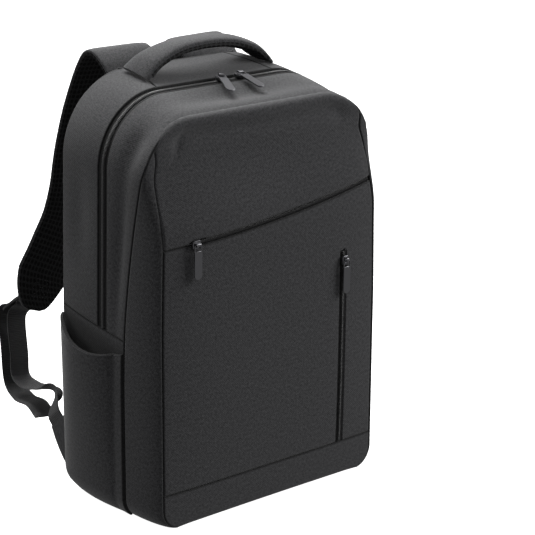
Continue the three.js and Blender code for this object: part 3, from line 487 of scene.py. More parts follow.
# Painted shade: within 2.6 mm of a seam the cloth's tone is multiplied down to 0.22, standing in for the
# shade in the seam valleys.
seam_field = add_node(tree, "ShaderNodeAttribute", attribute_name="seam", attribute_type="GEOMETRY")
painted_seam_shade = add_node(tree, "ShaderNodeMapRange", {
    "Value": seam_field.outputs["Fac"],
    "From Min": 0.0002,
    "From Max": 0.0026,
    "To Min": 0.22,
    "To Max": 1.0,
}, interpolation_type="SMOOTHSTEP")
shaded = add_node(tree, "ShaderNodeMix", {
    "Factor": 1.0,
    6: tone.outputs["Color"],
    7: painted_seam_shade.outputs["Result"],
}, data_type="RGBA", blend_type="MULTIPLY")
relief = add_node(tree, "ShaderNodeMix", {
    "Factor": 0.5,
    2: yarn.outputs["Fac"],
    3: twill.outputs["Fac"],
}, data_type="FLOAT")
weave_bump = bump(tree, relief.outputs[0], 0.35, 0.0006)
surface(melange_out, {
    "Base Color": shaded.outputs[2],
    "Roughness": 0.85,
    "IOR": 1.5,
    "Specular IOR Level": 0.25,
    "Sheen Weight": 0.25,
    "Sheen Roughness": 0.5,
    "Normal": weave_bump,
})

# Dents and soft folds: where along the outline, how far across the piece, the reach of each and its depth.
gusset_dents = [
    dict(station=7.65, across=0.6, along=0.22, wide=0.22, depth=3.2),
    dict(station=7.3, across=0.8, along=0.25, wide=0.12, depth=1.2),
    dict(station=8.2, across=0.5, along=0.5, wide=0.2, depth=1.6),
    dict(station=6.0, across=0.45, along=0.9, wide=0.3, depth=4.0),
    dict(station=4.5, across=0.66, along=0.4, wide=0.15, depth=2.4),
    dict(station=8.5, across=0.5, along=0.45, wide=0.35, depth=2.4),
]
back_dents = [
    dict(station=8.35, across=0.5, along=0.3, wide=0.3, depth=2.0),
    dict(station=3.6, across=0.5, along=0.3, wide=0.3, depth=2.0),
]
side_dents = [
    dict(station=9.5, across=0.45, along=0.35, wide=0.25, depth=1.5),
    dict(station=2.5, across=0.45, along=0.35, wide=0.25, depth=1.5),
]


def dent_depth(dents, s, k):
    """Sum of bell-shaped dents, each depth * exp(-(ds / along)^2 - (dk / wide)^2), none at the edges."""
    depth = 0 * s * k
    for dent in dents:
        depth = depth + dent["depth"] * np.exp(
            -((s - dent["station"]) / dent["along"]) ** 2 - ((k - dent["across"]) / dent["wide"]) ** 2
        )
    return depth * np.sin(math.pi * k)


def wall_grid(ring_a, ring_b, s, k, crown, dents):
    """A wall between two rings: straight between them, crowned by sin(pi k) along the outline's normal."""
    a, normal = ring_a(s)
    b = ring_b(s)[0]
    k = k[None, :]
    out = crown * np.sin(math.pi * k) - dent_depth(dents, s[:, None], k)
    if ring_b is front_seam:
        out = out - seam_valley * above_strips(s)[:, None] * np.exp(-((1 - k) / valley_share) ** 2)
    out = out * np.minimum(1, 1 + normal[:, 2:3])
    flat = mix(a[:, None], b[:, None], k[..., None])
    return flat + normal[:, None] * out[..., None]


def sew_wall(name, ring_a, ring_b, first, last, step, crown, dents, edges=(1, 1, 1, 1)):
    """A sewn wall as one piece that stands for the CAD node of the same name."""
    s = along(ring_a, first, last, step)
    middle = (first + last) / 2
    width = np.linalg.norm(ring_a(np.array([middle]))[0] - ring_b(np.array([middle]))[0])
    grid = wall_grid(ring_a, ring_b, s, spread(width, step), crown, dents)
    outward = (grid_normals(grid) * ring_a(s)[1][:, None]).sum() > 0
    points, faces, uv, seam = shell(grid, cloth_wall, edges, flip=not outward)
    # Painted shade: inside the pocket the seam field is lowered with depth below the side seam, so the
    # cloth there is painted darker.
    if name == "side_panel_left":  # the cloth inside the pocket lies in its shade
        share = np.clip((back_y - points[:, 1]) / gusset_depth, 0, 1)
        below = np.maximum(0, mix(side_seam_back, side_seam_front, share) - points[:, 2])
        seam = np.minimum(seam, shade_reach * np.exp(-below / mix(shade_back, shade_front, share)))
    piece = build(name + "_cloth", points, faces, melange, uv, seam)
    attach(piece, "bag")
    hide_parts(name)


zip_mouth = 14.0
zip_back = ring_at(zip_y + zip_mouth / 2)
zip_front = ring_at(zip_y - zip_mouth / 2)
sew_wall("back_gusset_right", back_seam, zip_back, 3.0, 5.0, 3.0, 1.2, back_dents)
sew_wall("back_gusset_left", back_seam, zip_back, 7.0, 9.0, 3.0, 1.2, back_dents)
sew_wall("top_band", back_seam, zip_back, 5.0, 7.0, 3.0, 1.2, [])
sew_wall("front_gusset", zip_front, front_seam, 3.0, 9.0, 3.0, 0.3, gusset_dents)
sew_wall("side_panel_right", back_seam, front_seam, 1.0, 3.0, 3.0, 2.0, side_dents)
sew_wall("side_panel_left", back_seam, front_seam, 9.0, 11.0, 3.0, 2.0, side_dents)

# Front pocket: side strips, hem and the two front panels
# The pocket stands forward of the gusset. Its strips turn round from the side walls to the front face,
# and the face is cut by the hem seam and by the slanting zip, with deeply rolled edges between them.
front_roll = 2.4
panel_bulge = 5.0
hem_height = 38.0
foot_round = 5.0
diagonal_left = 290.0
diagonal_rise = 31.0
diagonal_sag = 5.0
diagonal_start = 0.705
diagonal_zip_width = 6.0
upright_zip_x = 94.0
upright_zip_top = 250.0
upright_zip_width = 9.0
flap_stand = 2.0
flap_hang = 1.2
flap_from = -95.0
flap_reach = 12.0
flap_height = 18.0
flap_spread = 15.0
crown_radius = 8.0
crown_hollow = 3.0
crown_valley_at = 18.0
crown_valley = 8.0
slot_roll = 1.6
slot_sink = 2.4
face_reach = 140.0
patch_width = 340.0
patch_rise = 110.0
base_run = 142.0
base_wall = 3.0
upper_hollow = dict(depth=1.1, across=31.0, up=24.0, shift=0.8)
upper_pucker = dict(depth=1.5, x=-104.0, z=388.0, slant=0.5, half=5.0, middle=384.0, reach=12.0)

face_rim = panel_seam(np.linspace(1.0, 5.0, 4000))[0]


def face_half(z):
    """Half width of the front face at a height, read off its seam."""
    return np.interp(z, face_rim[:, 2], face_rim[:, 0])


def face_y(share, z):
    """The front face: it bellies out by sin(pi z / height) ** 0.6 and turns in at the foot."""
    belly = np.sin(math.pi * np.clip(z / front_top, 0, 1)) ** 0.6
    tuck = foot_round * 0.5 * np.maximum(0, 1 - z / foot_round) ** 2 * (1 - share ** 6)
    return panel_y(z) - panel_bulge * belly * (1 - share ** 4) + tuck


def diagonal_height(x):
    """Height of the slanting zip: a straight rise that sags by sin(pi share) on its way."""
    share = (x + half_width) / body_width
    return diagonal_left + diagonal_rise * share - diagonal_sag * np.sin(math.pi * share)


def diagonal_open(x):
    """Half the gap of the slanting zip: nothing left of its slider, half the zip's width right of it."""
    start = -diagonal_start * half_width
    return diagonal_zip_width / 2 * ease((x - start) / diagonal_zip_width + 0.5)


def slit_edge(x):
    """Lower edge of the upper panel: half the slanting zip's gap above it, less what hangs over."""
    hang = flap_hang * ease((x - flap_from) / flap_reach)
    return diagonal_height(x) + diagonal_open(x) - hang


def strip_grid(s, k):
    """A strip: a quarter of an ellipse from the gusset's seam to the seam of the front face."""
    a = front_seam(s)[0]
    b = panel_seam(s)[0]
    inward = (1 - np.cos(k * math.pi / 2))[None, :]
    forward = np.sin(k * math.pi / 2)[None, :]
    x = mix(a[:, None, 0], b[:, None, 0], inward)
    y = mix(a[:, None, 1], b[:, None, 1], forward)
    z = mix(a[:, None, 2], b[:, None, 2], inward)
    return np.stack([x, y, z], -1)


def dress(name, node, grid, outward, wall=cloth_wall, edges=(1, 1, 1, 1), roll=edge_roll,
          cloth=melange, straight=False):
    """A sewn piece from a grid of its outer face; outward is a rough direction that it faces, and a
    straight wall lies behind its face in that direction."""
    facing = (grid_normals(grid) * np.asarray(outward)).sum() > 0
    behind = np.array(outward, dtype=float) if straight else None
    points, faces, uv, seam = shell(grid, wall, edges, flip=not facing, roll=roll, facing=behind)
    piece = build(name, points, faces, cloth, uv, seam)
    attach(piece, "bag")
    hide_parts(node)
    return piece


for side_name, side, first, last in [("right", 1, 1.0, strip_end), ("left", -1, 12 - strip_end, 11.0)]:
    stations = along(panel_seam, first, last, 3.0)
    grid = strip_grid(stations, spread(55.0, 1.6, front_roll))
    dress(f"front_strip_{side_name}_cloth", f"front_strip_{side_name}", grid, (side, -1, 0),
          roll=front_roll)


def face_grid(low, high, columns, rows):
    """Part of the front face between two heights given over its width: rows run from low to high, and each
    is drawn out to the face's own half width."""
    u = columns[None, :]
    r = rows[:, None]
    x_near = u * face_half(mix(low(u * half_width), high(u * half_width), 0.5))
    z = mix(low(x_near), high(x_near), r)
    x = u * face_half(z)
    return np.stack([x, face_y(u, z), z], -1)


def face_columns(width, step):
    """Columns across the front face, from -1 to 1, close together at both deeply rolled edges."""
    return spread(width, step, front_roll) * 2 - 1


hem_grid = face_grid(lambda x: 0 * x + 0.6, lambda x: 0 * x + hem_height, face_columns(280.0, 2.5),
                     spread(hem_height, 1.5, edge_roll))
dress("front_hem_cloth", "front_hem", hem_grid, (0, -1, 0))


def rim_run(first, last, shares):
    """Points of the front face's seam between two stations, at shares of their real distance."""
    line = panel_seam(np.linspace(first, last, 2000))[0][:, [0, 2]]
    run = run_of(line)
    return read_along(shares * run[-1], run, line)


rim_stations = np.linspace(3.0, 4.5, 4000)
rim_heights = panel_seam(rim_stations)[0][:, 2]
flap_left = slit_edge(-face_half(diagonal_left))
flap_right = slit_edge(face_half(diagonal_height(face_reach)))
station_left, station_right = np.interp([flap_left, flap_right], rim_heights, rim_stations)
patch_u = spread(patch_width, 1.9, front_roll)
patch_v = spread(patch_rise, 1.5, front_roll)
low_x = mix(-face_half(flap_left), face_half(flap_right), patch_u)
low_edge = np.stack([low_x, slit_edge(low_x)], -1)
high_edge = rim_run(7.5, 4.5, patch_u)
left_edge = rim_run(12 - station_left, 7.5, patch_v)
right_edge = rim_run(station_right, 4.5, patch_v)
low_edge[0], low_edge[-1] = left_edge[0], right_edge[0]


def four_edges(low, high, first, last, us, vs):
    """A patch between four edges: (1-v) low + v high + (1-u) first + u last, less its blended corners."""
    u = us[None, :, None] + 0 * vs[:, None, None]
    v = vs[:, None, None] + 0 * us[None, :, None]
    ends = (1 - v) * ((1 - u) * low[0] + u * low[-1]) + v * ((1 - u) * high[0] + u * high[-1])
    return (1 - v) * low[None] + v * high[None] + (1 - u) * first[:, None] + u * last[:, None] - ends


flat_patch = four_edges(low_edge, high_edge, left_edge, right_edge, patch_u, patch_v)
patch_x = flat_patch[..., 0]
patch_z = flat_patch[..., 1]
patch_share = np.clip(patch_x / face_half(patch_z), -1, 1)
above_slit = patch_z - diagonal_height(patch_x)
patch_y = face_y(patch_share, patch_z)
patch_y = patch_y - flap_stand * np.exp(-((above_slit - flap_height) / flap_spread) ** 2)
# The rim over the top rolls in on a wide radius, with a shallow hollow behind it.
rim_s = np.linspace(3.3, 8.7, 1800)
rim_line = panel_seam(rim_s)[0][:, [0, 2]]
rim_search = [((part - rim_line[None]) ** 2).sum(-1)
              for part in np.array_split(flat_patch.reshape(-1, 1, 2), 60)]
nearest = np.concatenate([gap.argmin(1) for gap in rim_search]).reshape(patch_x.shape)
rim_gap = np.sqrt(np.concatenate([gap.min(1) for gap in rim_search])).reshape(patch_x.shape)
over_top = above_strips(rim_s)[nearest]
radius = mix(front_roll, crown_radius, over_top)
inside = np.clip(radius - rim_gap, 0, radius)
patch_y += radius - np.sqrt(radius ** 2 - inside ** 2)
patch_y += crown_hollow * np.exp(-((rim_gap - crown_valley_at) / crown_valley) ** 2) * over_top
# Soft hollows of the unsupported cloth, and the pucker that runs in from the upper left corner.
hollows = upper_hollow["depth"] * np.sin(patch_x / upper_hollow["across"] + upper_hollow["shift"])
hollows = hollows * np.sin((patch_z - diagonal_left) / upper_hollow["up"])
beside = patch_x - upper_pucker["x"] + (upper_pucker["z"] - patch_z) * upper_pucker["slant"]
above = patch_z - upper_pucker["middle"]
pucker = np.exp(-(beside / upper_pucker["half"]) ** 2 - (above / upper_pucker["reach"]) ** 2)
pucker = upper_pucker["depth"] * pucker
patch_y += (hollows + pucker) * np.clip(rim_gap / 12.0, 0, 1)
upper_grid = np.stack([patch_x, patch_y, patch_z], -1)
dress("front_panel_upper_cloth", "front_panel_upper", upper_grid, (0, -1, 0), edges=(1, 0, 0, 0),
      roll=front_roll, straight=True)

half_slot = upright_zip_width / 2
slot_edges = [upright_zip_x - half_slot, upright_zip_x + half_slot]
near_slot = np.concatenate([(edge + np.linspace(-2.6, 2.6, 14)) / face_reach for edge in slot_edges])
lower_columns = np.unique(np.concatenate([face_columns(285.0, 2.4), near_slot]))
lower_grid = face_grid(
    lambda x: 0 * x + hem_height,
    lambda x: diagonal_height(x) - diagonal_open(x),
    lower_columns, spread(260.0, 2.0, front_roll),
)
from_slot = np.abs(lower_grid[..., 0] - upright_zip_x)
groove = np.clip(slot_roll - np.abs(from_slot - half_slot), 0, slot_roll)
rolled = slot_roll - np.sqrt(np.maximum(0, slot_roll ** 2 - groove ** 2))
sink = np.where(from_slot < half_slot, slot_sink, rolled)
lower_grid[..., 1] += sink * (lower_grid[..., 2] < upright_zip_top)
dress("front_panel_lower_cloth", "front_panel_lower", lower_grid, (0, -1, 0), roll=front_roll)

base_s = np.array([1.0])
base_ys = (spread(base_run, 6.0) - 0.5) * base_run
back_x = back_seam(base_s)[0][0, 0]
seam_point = front_seam(base_s)[0][0]
face_x = panel_seam(base_s)[0][0, 0]
turn = np.clip((seam_point[1] - base_ys) / (seam_point[1] - front_y), 0, 1)
half_base = np.where(
    base_ys > seam_point[1],
    mix(back_x, seam_point[0], (back_y - base_ys) / (back_y - seam_point[1])),
    mix(face_x, seam_point[0], np.sqrt(np.maximum(0, 1 - turn ** 2))),
)
base_u = spread(270.0, 6.0) * 2 - 1
base_x = half_base[:, None] * base_u[None]
base_grid = np.stack([base_x, base_ys[:, None] + 0 * base_x, 0 * base_x], -1)
dress("base_panel_cloth", "base_panel", base_grid, (0, 0, -1), wall=base_wall)

# Zips: main zip, slanting zip and upright zip
# Closed coil zips: two black herringbone tapes, folded back in a welt beside the teeth, and two rows of
# nylon coil that interlock. The main one runs from side seam to side seam over the top.
coil_pitch = 1.5
coil_height = 1.8
zip_sink = 1.2
tape_wall = 1.2


def calculate(tree, operation, *values):
    """One math node's result."""
    return add_node(tree, "ShaderNodeMath", dict(enumerate(values)), operation=operation).outputs[0]


zip_tape, zip_tape_out = new_material("black_zip_tape_herringbone")
# Woven polyester tape, black and matt: rows of slanting ribs change direction every 1.5 mm across it.
tree = zip_tape.node_tree
tape_map = add_node(tree, "ShaderNodeUVMap", uv_map="cloth")
tape_parts = add_node(tree, "ShaderNodeSeparateXYZ", {0: tape_map.outputs["UV"]})
fold = calculate(tree, "PINGPONG", tape_parts.outputs[0], 0.0015)
slant = calculate(tree, "ADD", fold, tape_parts.outputs[1])
rib_wave = calculate(tree, "SINE", calculate(tree, "MULTIPLY", slant, 5200.0))
tape_bump = bump(tree, rib_wave, 0.5, 0.0003)
surface(zip_tape_out, {
    "Base Color": linear("#111112"),
    "Roughness": 0.8,
    "Normal": tape_bump,
})

coil_nylon, coil_nylon_out = new_material("black_nylon_coil")
# Extruded nylon monofilament: black with a soft gloss on each turn of the coil.
tree = coil_nylon.node_tree
surface(coil_nylon_out, {
    "Base Color": linear("#1b1b1c"),
    "Roughness": 0.45,
    "IOR": 1.53,
})


def path_frames(points, out):
    """Frames along a path: its direction, the way out of the cloth, and the way across the zip."""
    ahead = unit(np.gradient(points, axis=0))
    out = unit(out - (out * ahead).sum(-1, keepdims=True) * ahead)
    return ahead, np.cross(ahead, out), out


def even_path(points, step):
    """The same path with its points a step apart: linear in its run of length."""
    run = run_of(points)
    count = max(2, int(round(run[-1] / step)))
    return read_along(np.linspace(0, run[-1], count + 1), run, points)


def resample(values, count):
    """Rows of values read off evenly at another count."""
    return read_along(np.linspace(0, 1, count), np.linspace(0, 1, len(values)), values)


def ring_quads(rings, count, turned=False):
    """Faces between closed rings of points; turned gives them the other way round."""
    number = np.arange(rings * count).reshape(rings, count)
    beside = np.roll(number, -1, axis=1)
    corners = [number[:-1], beside[:-1], beside[1:], number[1:]]
    if turned:
        corners = corners[:1] + corners[:0:-1]
    return np.stack(corners, -1).reshape(-1, 4)


def coil_teeth(path, out, width):
    """Both rows of teeth: each a bent bar of six sides, from its tape to a little past the middle, lifted
    by sqrt(1 - 0.85 a^2) across the coil; the two rows alternate by half a pitch."""
    bars = []
    faces = []
    across = np.linspace(-1.0, 0.28, 5)
    ring = np.arange(6) * math.pi / 3
    a = across[:, None] + 0 * ring[None]
    lift = coil_height * np.sqrt(np.maximum(0, 1 - across ** 2 * 0.85))[:, None] - 0.55
    h = lift + 0.5 * np.cos(ring)[None]
    t = 0 * across[:, None] + coil_pitch * 0.36 * np.sin(ring)[None]
    shape = np.stack([a * width / 2, t, h], -1).reshape(-1, 3)
    body = ring_quads(5, 6)
    run = even_path(path, coil_pitch / 2)
    ahead, over, up_out = path_frames(run, resample(out, len(run)))
    for side, start in [(1, 1), (-1, 2)]:
        pick = slice(start, len(run) - 1, 2)
        local = (shape * np.array([side, 1, 1]))[None]
        placed = run[pick][:, None] + local[..., :1] * over[pick][:, None]
        placed = placed + local[..., 1:2] * ahead[pick][:, None] + local[..., 2:] * up_out[pick][:, None]
        base = sum(len(bar) for bar in bars)
        bars.append(placed.reshape(-1, 3))
        turned = body if side > 0 else body[:, ::-1]
        faces.append((turned[None] + (np.arange(len(placed)) * 30)[:, None, None] + base).reshape(-1, 4))
    return np.concatenate(bars), np.concatenate(faces)


def tape_grid(path, out, width, welt, sink):
    """The two tapes and the space between them, sunk below the cloth, with a rounded welt at each edge."""
    over, up_out = path_frames(path, out)[1:]
    v = np.linspace(-1, 1, 25)
    rise = welt * np.exp(-((np.abs(v) - 0.8) / 0.14) ** 2) - sink
    flat = path[:, None] + over[:, None] * (v * width / 2)[None, :, None]
    return flat + up_out[:, None] * rise[None, :, None]


def sew_zip(name, node, path, out, width, coil_width, welt, sink):
    """A zip along a path: its tape stands for the CAD node, and its coil rides with it."""
    coarse = even_path(path, 2.0)
    frames = resample(out, len(coarse))
    grid = tape_grid(coarse, frames, width, welt, sink)
    facing = (grid_normals(grid) * frames[:, None]).sum() > 0
    points, faces, uv, seam = shell(grid, tape_wall, (0, 0, 0, 0), flip=not facing)
    tape = build(name + "_tape", points, faces, zip_tape, uv, seam)
    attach(tape, "bag")
    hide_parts(node)
    sunk = path - path_frames(path, out)[2] * sink
    bars, bar_faces = coil_teeth(sunk, out, coil_width)
    coil = build(name + "_coil", bars, bar_faces, coil_nylon, sharp=70.0)
    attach(coil, "bag")


zip_ring = ring_at(zip_y)
zip_stations = np.linspace(3.0, 9.0, 1800)
zip_line, zip_out = zip_ring(zip_stations)
sew_zip("main_zip", "main_zip", zip_line, zip_out, zip_mouth + 1.0, 6.6, 0.3, zip_sink + 0.4)

slant_start = -diagonal_start * half_width + 4.0
slant_x = np.linspace(slant_start, face_half(diagonal_height(face_reach)) - 3.0, 300)
slant_z = diagonal_height(slant_x)
slant_y = face_y(slant_x / face_half(slant_z), slant_z)
slant_line = np.stack([slant_x, slant_y, slant_z], -1)
forward_out = np.broadcast_to(np.array([0.0, -1.0, 0.0]), slant_line.shape)
sew_zip("diagonal_zip", "diagonal_zip", slant_line, forward_out, 8.0, 4.6, 0.4, 1.5)

upright_z = np.linspace(hem_height + 0.8, upright_zip_top - 0.5, 300)
upright_y = face_y(upright_zip_x / face_half(upright_z), upright_z)
upright_line = np.stack([0 * upright_z + upright_zip_x, upright_y, upright_z], -1)
sew_zip("vertical_zip", "vertical_zip", upright_line, forward_out, upright_zip_width - 0.4, 4.4, 0.3, 1.2)


# Sliders and pulls
# Die-cast zinc, plated satin gunmetal: a shoe that carries a bridge on the coil, and a flat pull with a
# chamfered edge and a rounded tip, whose eye hangs on the bridge and swings.
pull_width = 9.4
pull_length = 35.0
pull_wall = 1.6
eye_length = 6.5
bridge_hole = 2.4
slider_wall = 3.4
# Out of the cloth at the two top sliders, which stand on the slope of the bag's top, and at the front.
top_out = [0.0, -0.28943, 0.9572]
front_out = [0.0, -1.0, 0.0]

gunmetal, gunmetal_out = new_material("satin_gunmetal_plating")
# Dark nickel plate over a tumbled casting: grey reflections, slightly brushed along the pull.
tree = gunmetal.node_tree
metal_place = add_node(tree, "ShaderNodeTexCoord")
tumbled = add_node(tree, "ShaderNodeTexNoise", {
    "Vector": metal_place.outputs["Object"],
    "Scale": 900.0,
    "Detail": 2.0,
})
metal_rough = add_node(tree, "ShaderNodeMapRange", {
    "Value": tumbled.outputs["Fac"],
    "To Min": 0.26,
    "To Max": 0.42,
})
surface(gunmetal_out, {
    "Base Color": linear("#7a7a7d"),
    "Metallic": 1.0,
    "Roughness": metal_rough.outputs["Result"],
})


def soft_power(share, power):
    """A share's power with its sign kept, which squares the corners of a round section."""
    return np.sign(share) * np.abs(share) ** power


def rounded_plate(outline_points, wall, chamfer):
    """A plate from a convex outline: rings of the outline, drawn in by the chamfer at both faces, and flat
    faces closed to the outline's middle."""
    centre = outline_points.mean(0)
    away = outline_points - centre
    reach = np.linalg.norm(away, axis=1, keepdims=True)
    rings = []
    for inset, height in [(chamfer * 1.6, 0.5), (chamfer, 0.5), (0, 0.5 - chamfer / wall),
                          (0, chamfer / wall - 0.5), (chamfer, -0.5), (chamfer * 1.6, -0.5)]:
        flat = centre + away * (1 - inset / reach)
        rings.append(np.concatenate([flat, np.full((len(flat), 1), height * wall)], 1))
    count = len(outline_points)
    middle = np.array([[centre[0], centre[1], wall / 2], [centre[0], centre[1], -wall / 2]])
    points = np.concatenate(rings + [middle])
    number = np.arange(count)
    beside = np.roll(number, -1)
    top = np.stack([number, beside, np.full(count, 6 * count)], -1)
    low = np.stack([beside + 5 * count, number + 5 * count, np.full(count, 6 * count + 1)], -1)
    return points, ring_quads(6, count, turned=True), np.concatenate([top, low])


def swept_bar(path, across, deep):
    """A bar of eight sides along a path in the plane of the pull: across its width, deep its thickness."""
    path = np.asarray(path, dtype=float)
    ahead = unit(np.gradient(path, axis=0))
    out = np.array([0.0, 0.0, 1.0])
    side = np.cross(ahead, out)
    angle = (np.arange(8) + 0.5) * math.pi / 4
    ring_side = soft_power(np.cos(angle), 0.6) * across / 2
    ring_out = soft_power(np.sin(angle), 0.6) * deep / 2
    points = path[:, None] + side[:, None] * ring_side[None, :, None] + out * ring_out[None, :, None]
    cap = np.arange(8)
    faces = ring_quads(len(path), 8).tolist() + [cap[::-1].tolist(), (cap + 8 * (len(path) - 1)).tolist()]
    return points.reshape(-1, 3), faces


def join_shapes(shapes):
    """Puts several shapes together, the faces of each numbered on from the ones before."""
    points = []
    faces = []
    for shape_points, *lists in shapes:
        start = sum(len(p) for p in points)
        points.append(shape_points)
        for part in lists:
            faces += [[int(i) + start for i in face] for face in part]
    return np.concatenate(points), faces


def pull_shape():
    """The pull in its own plane: eye towards the bridge at the origin, tab down to its rounded tip."""
    half = pull_width / 2
    turn = np.linspace(0, -math.pi, 25)
    tip = np.stack([half * np.cos(turn), -pull_length + half + half * np.sin(turn)], -1)
    side_steps = np.linspace(-pull_length + half + 3, -eye_length - 0.6, 8)
    left = np.stack([0 * side_steps - half, side_steps], -1)
    right_side = np.stack([0 * side_steps + half, side_steps[::-1]], -1)
    neck = np.array([[-half + 1.2, -eye_length + 0.4], [half - 1.2, -eye_length + 0.4]])
    tab = rounded_plate(np.concatenate([tip, left, neck, right_side]), pull_wall, 0.35)
    eye_half = half - 0.6
    eye = [(eye_half, -eye_length - 0.4), (eye_half, -1.0), (eye_half - 0.5, -0.2), (eye_half - 1.2, 0)]
    eye = [(-x, y) for x, y in eye] + [(0, 0)] + eye[::-1]
    loop = swept_bar([(x, y, 0.0) for x, y in eye], 1.2, 1.2)
    return join_shapes([tab, loop])


def slider_shape(along_bar):
    """The shoe, wide at its nose and narrow at its tail, with chamfered edges, and the bridge across or
    along the pull's bar."""
    turn = np.linspace(0, 2 * math.pi, 33)[:-1]
    nose = soft_power(np.cos(turn), 0.45)
    wing = soft_power(np.sin(turn), 0.45)
    travel = np.stack([nose * 5.0, wing * (4.25 + 0.35 * nose)], -1)
    spots = travel if along_bar else np.stack([travel[:, 1], travel[:, 0]], -1)[::-1]
    points, sides, caps = rounded_plate(spots, slider_wall, 0.6)
    shoe = (points - np.array([0, 0, slider_wall / 2]), sides, caps)
    tall = 1.9 if along_bar else 3.5
    wide = 6.0 if along_bar else 2.8
    bend = np.linspace(0, math.pi, 13)
    arch_across = -soft_power(np.cos(bend), 0.5) * (tall - 0.35)
    arch_up = np.abs(np.sin(bend)) ** 0.5 * (bridge_hole + 0.35)
    arch_points, arch_faces = swept_bar(np.stack([arch_across, arch_up, 0 * bend], -1), 0.7, wide)
    bridge = arch_points[:, [2, 0, 1]]
    return join_shapes([shoe, (bridge, arch_faces)])


def place_shape(name, points, faces, pivot, bar, out, drop, body, node):
    """Puts a shape in its place: its first axis on the bar, its third out of the cloth, and its origin a
    drop below the pivot."""
    rise = np.cross(out, bar)
    placed = pivot + points[:, :1] * bar + points[:, 1:2] * rise + (points[:, 2:] - drop) * out
    made = build(name, placed, faces, gunmetal, sharp=30.0)
    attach(made, body)
    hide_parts(node)


hinges = {joint["name"]: joint for joint in frame["joints"]}
for place_name in ["top_left", "top_right", "diagonal", "vertical"]:
    hinge = hinges[place_name + "_pull_swing"]
    pivot = np.array(hinge["pos_m"]) * 1000
    bar = -np.array(hinge["axis"])
    out = np.array(top_out if place_name.startswith("top") else front_out)
    points, faces = pull_shape()
    place_shape(f"pull_{place_name}_metal", points, faces, pivot, bar, out, 0.0,
                f"{place_name}_pull", f"pull_{place_name}")
    points, faces = slider_shape(along_bar=place_name != "vertical")
    place_shape(f"slider_{place_name}_metal", points, faces, pivot, bar, out, bridge_hole / 2,
                "bag", f"slider_{place_name}")


# Back panel
# Foam under black spacer mesh in two padded fields, with a smooth woven band between them that slips over
# a trolley's handle, framed by strips and a yoke of the melange cloth.
pad_half = 109.0
pad_wall = 9.0
pad_edge = 3.0
pad_round = 14.0
yoke_height = 423.0
band_top = 235.0
band_height = 42.0
band_crown = 1.5
strip_top_z = 419.0
strip_foot_z = 0.8
strip_belly = 1.5
pad_sink = 2.4

spacer_mesh, spacer_mesh_out = new_material("black_spacer_mesh")
# Knitted polyester spacer mesh: black, matt, with open cells about 5 mm apart between its ribs, painted
# near black as the shade inside them.
tree = spacer_mesh.node_tree
mesh_map = add_node(tree, "ShaderNodeUVMap", uv_map="cloth")
mesh_turn = add_node(tree, "ShaderNodeMapping", {
    "Vector": mesh_map.outputs["UV"],
    "Scale": (1.0, 0.8, 1.0),
})
holes = add_node(tree, "ShaderNodeTexVoronoi", {
    "Vector": mesh_turn.outputs[0],
    "Scale": 205.0,
    "Randomness": 0.06,
}, voronoi_dimensions="2D")
hole_edge = add_node(tree, "ShaderNodeMapRange", {
    "Value": holes.outputs["Distance"],
    "From Min": 0.33,
    "From Max": 0.46,
}, interpolation_type="SMOOTHSTEP")
# Painted shade: the open cells take a near-black colour for the shade inside them, and the ribs keep the
# mesh's own black.
mesh_tone_and_cell_shade = add_node(tree, "ShaderNodeMix", {
    "Factor": hole_edge.outputs["Result"],
    6: linear("#010101"),
    7: linear("#29292a"),
}, data_type="RGBA")
mesh_bump = bump(tree, hole_edge.outputs["Result"], 0.8, 0.0009)
surface(spacer_mesh_out, {
    "Base Color": mesh_tone_and_cell_shade.outputs[2],
    "Roughness": 0.8,
    "Specular IOR Level": 0.3,
    "Normal": mesh_bump,
})

back_rim = back_seam(np.linspace(1.0, 5.0, 4000))[0]


def back_half(z):
    """Half width of the back at a height, read off the back seam."""
    return np.interp(z, back_rim[:, 2], back_rim[:, 0])


def pad_grid(low, high, edge, crown, step):
    """A padded field of the back: it rises from its edge over a short round, then lies evenly full."""
    z = low + spread(high - low, step) * (high - low)
    u = spread(2 * pad_half, step) * 2 - 1
    x = u[None] * np.minimum(pad_half, back_half(z))[:, None]
    zz = z[:, None] + 0 * x
    near = np.minimum(np.minimum(zz - low, high - zz), (np.minimum(pad_half, back_half(zz)) - np.abs(x)))
    rise = crown * np.sqrt(np.clip(1 - (1 - np.clip(near / pad_round, 0, 1)) ** 2, 0, 1))
    return np.stack([x, back_y + edge - pad_sink + rise, zz], -1)


def sew_back_field(name, low, high, edge, crown, cloth):
    """One padded field of the back as a sewn piece."""
    grid = pad_grid(low, high, edge, crown, 3.0)
    return dress(name + "_cover", name, grid, (0, 1, 0), cloth=cloth)


for field, low, high in [("back_mesh_upper", band_top, yoke_height),
                         ("back_mesh_lower", 1.0, band_top - band_height)]:
    pad = sew_back_field(field, low, high, pad_edge, pad_wall - pad_edge, spacer_mesh)
sew_back_field("trolley_band", band_top - band_height, band_top, pad_edge, band_crown, zip_tape)

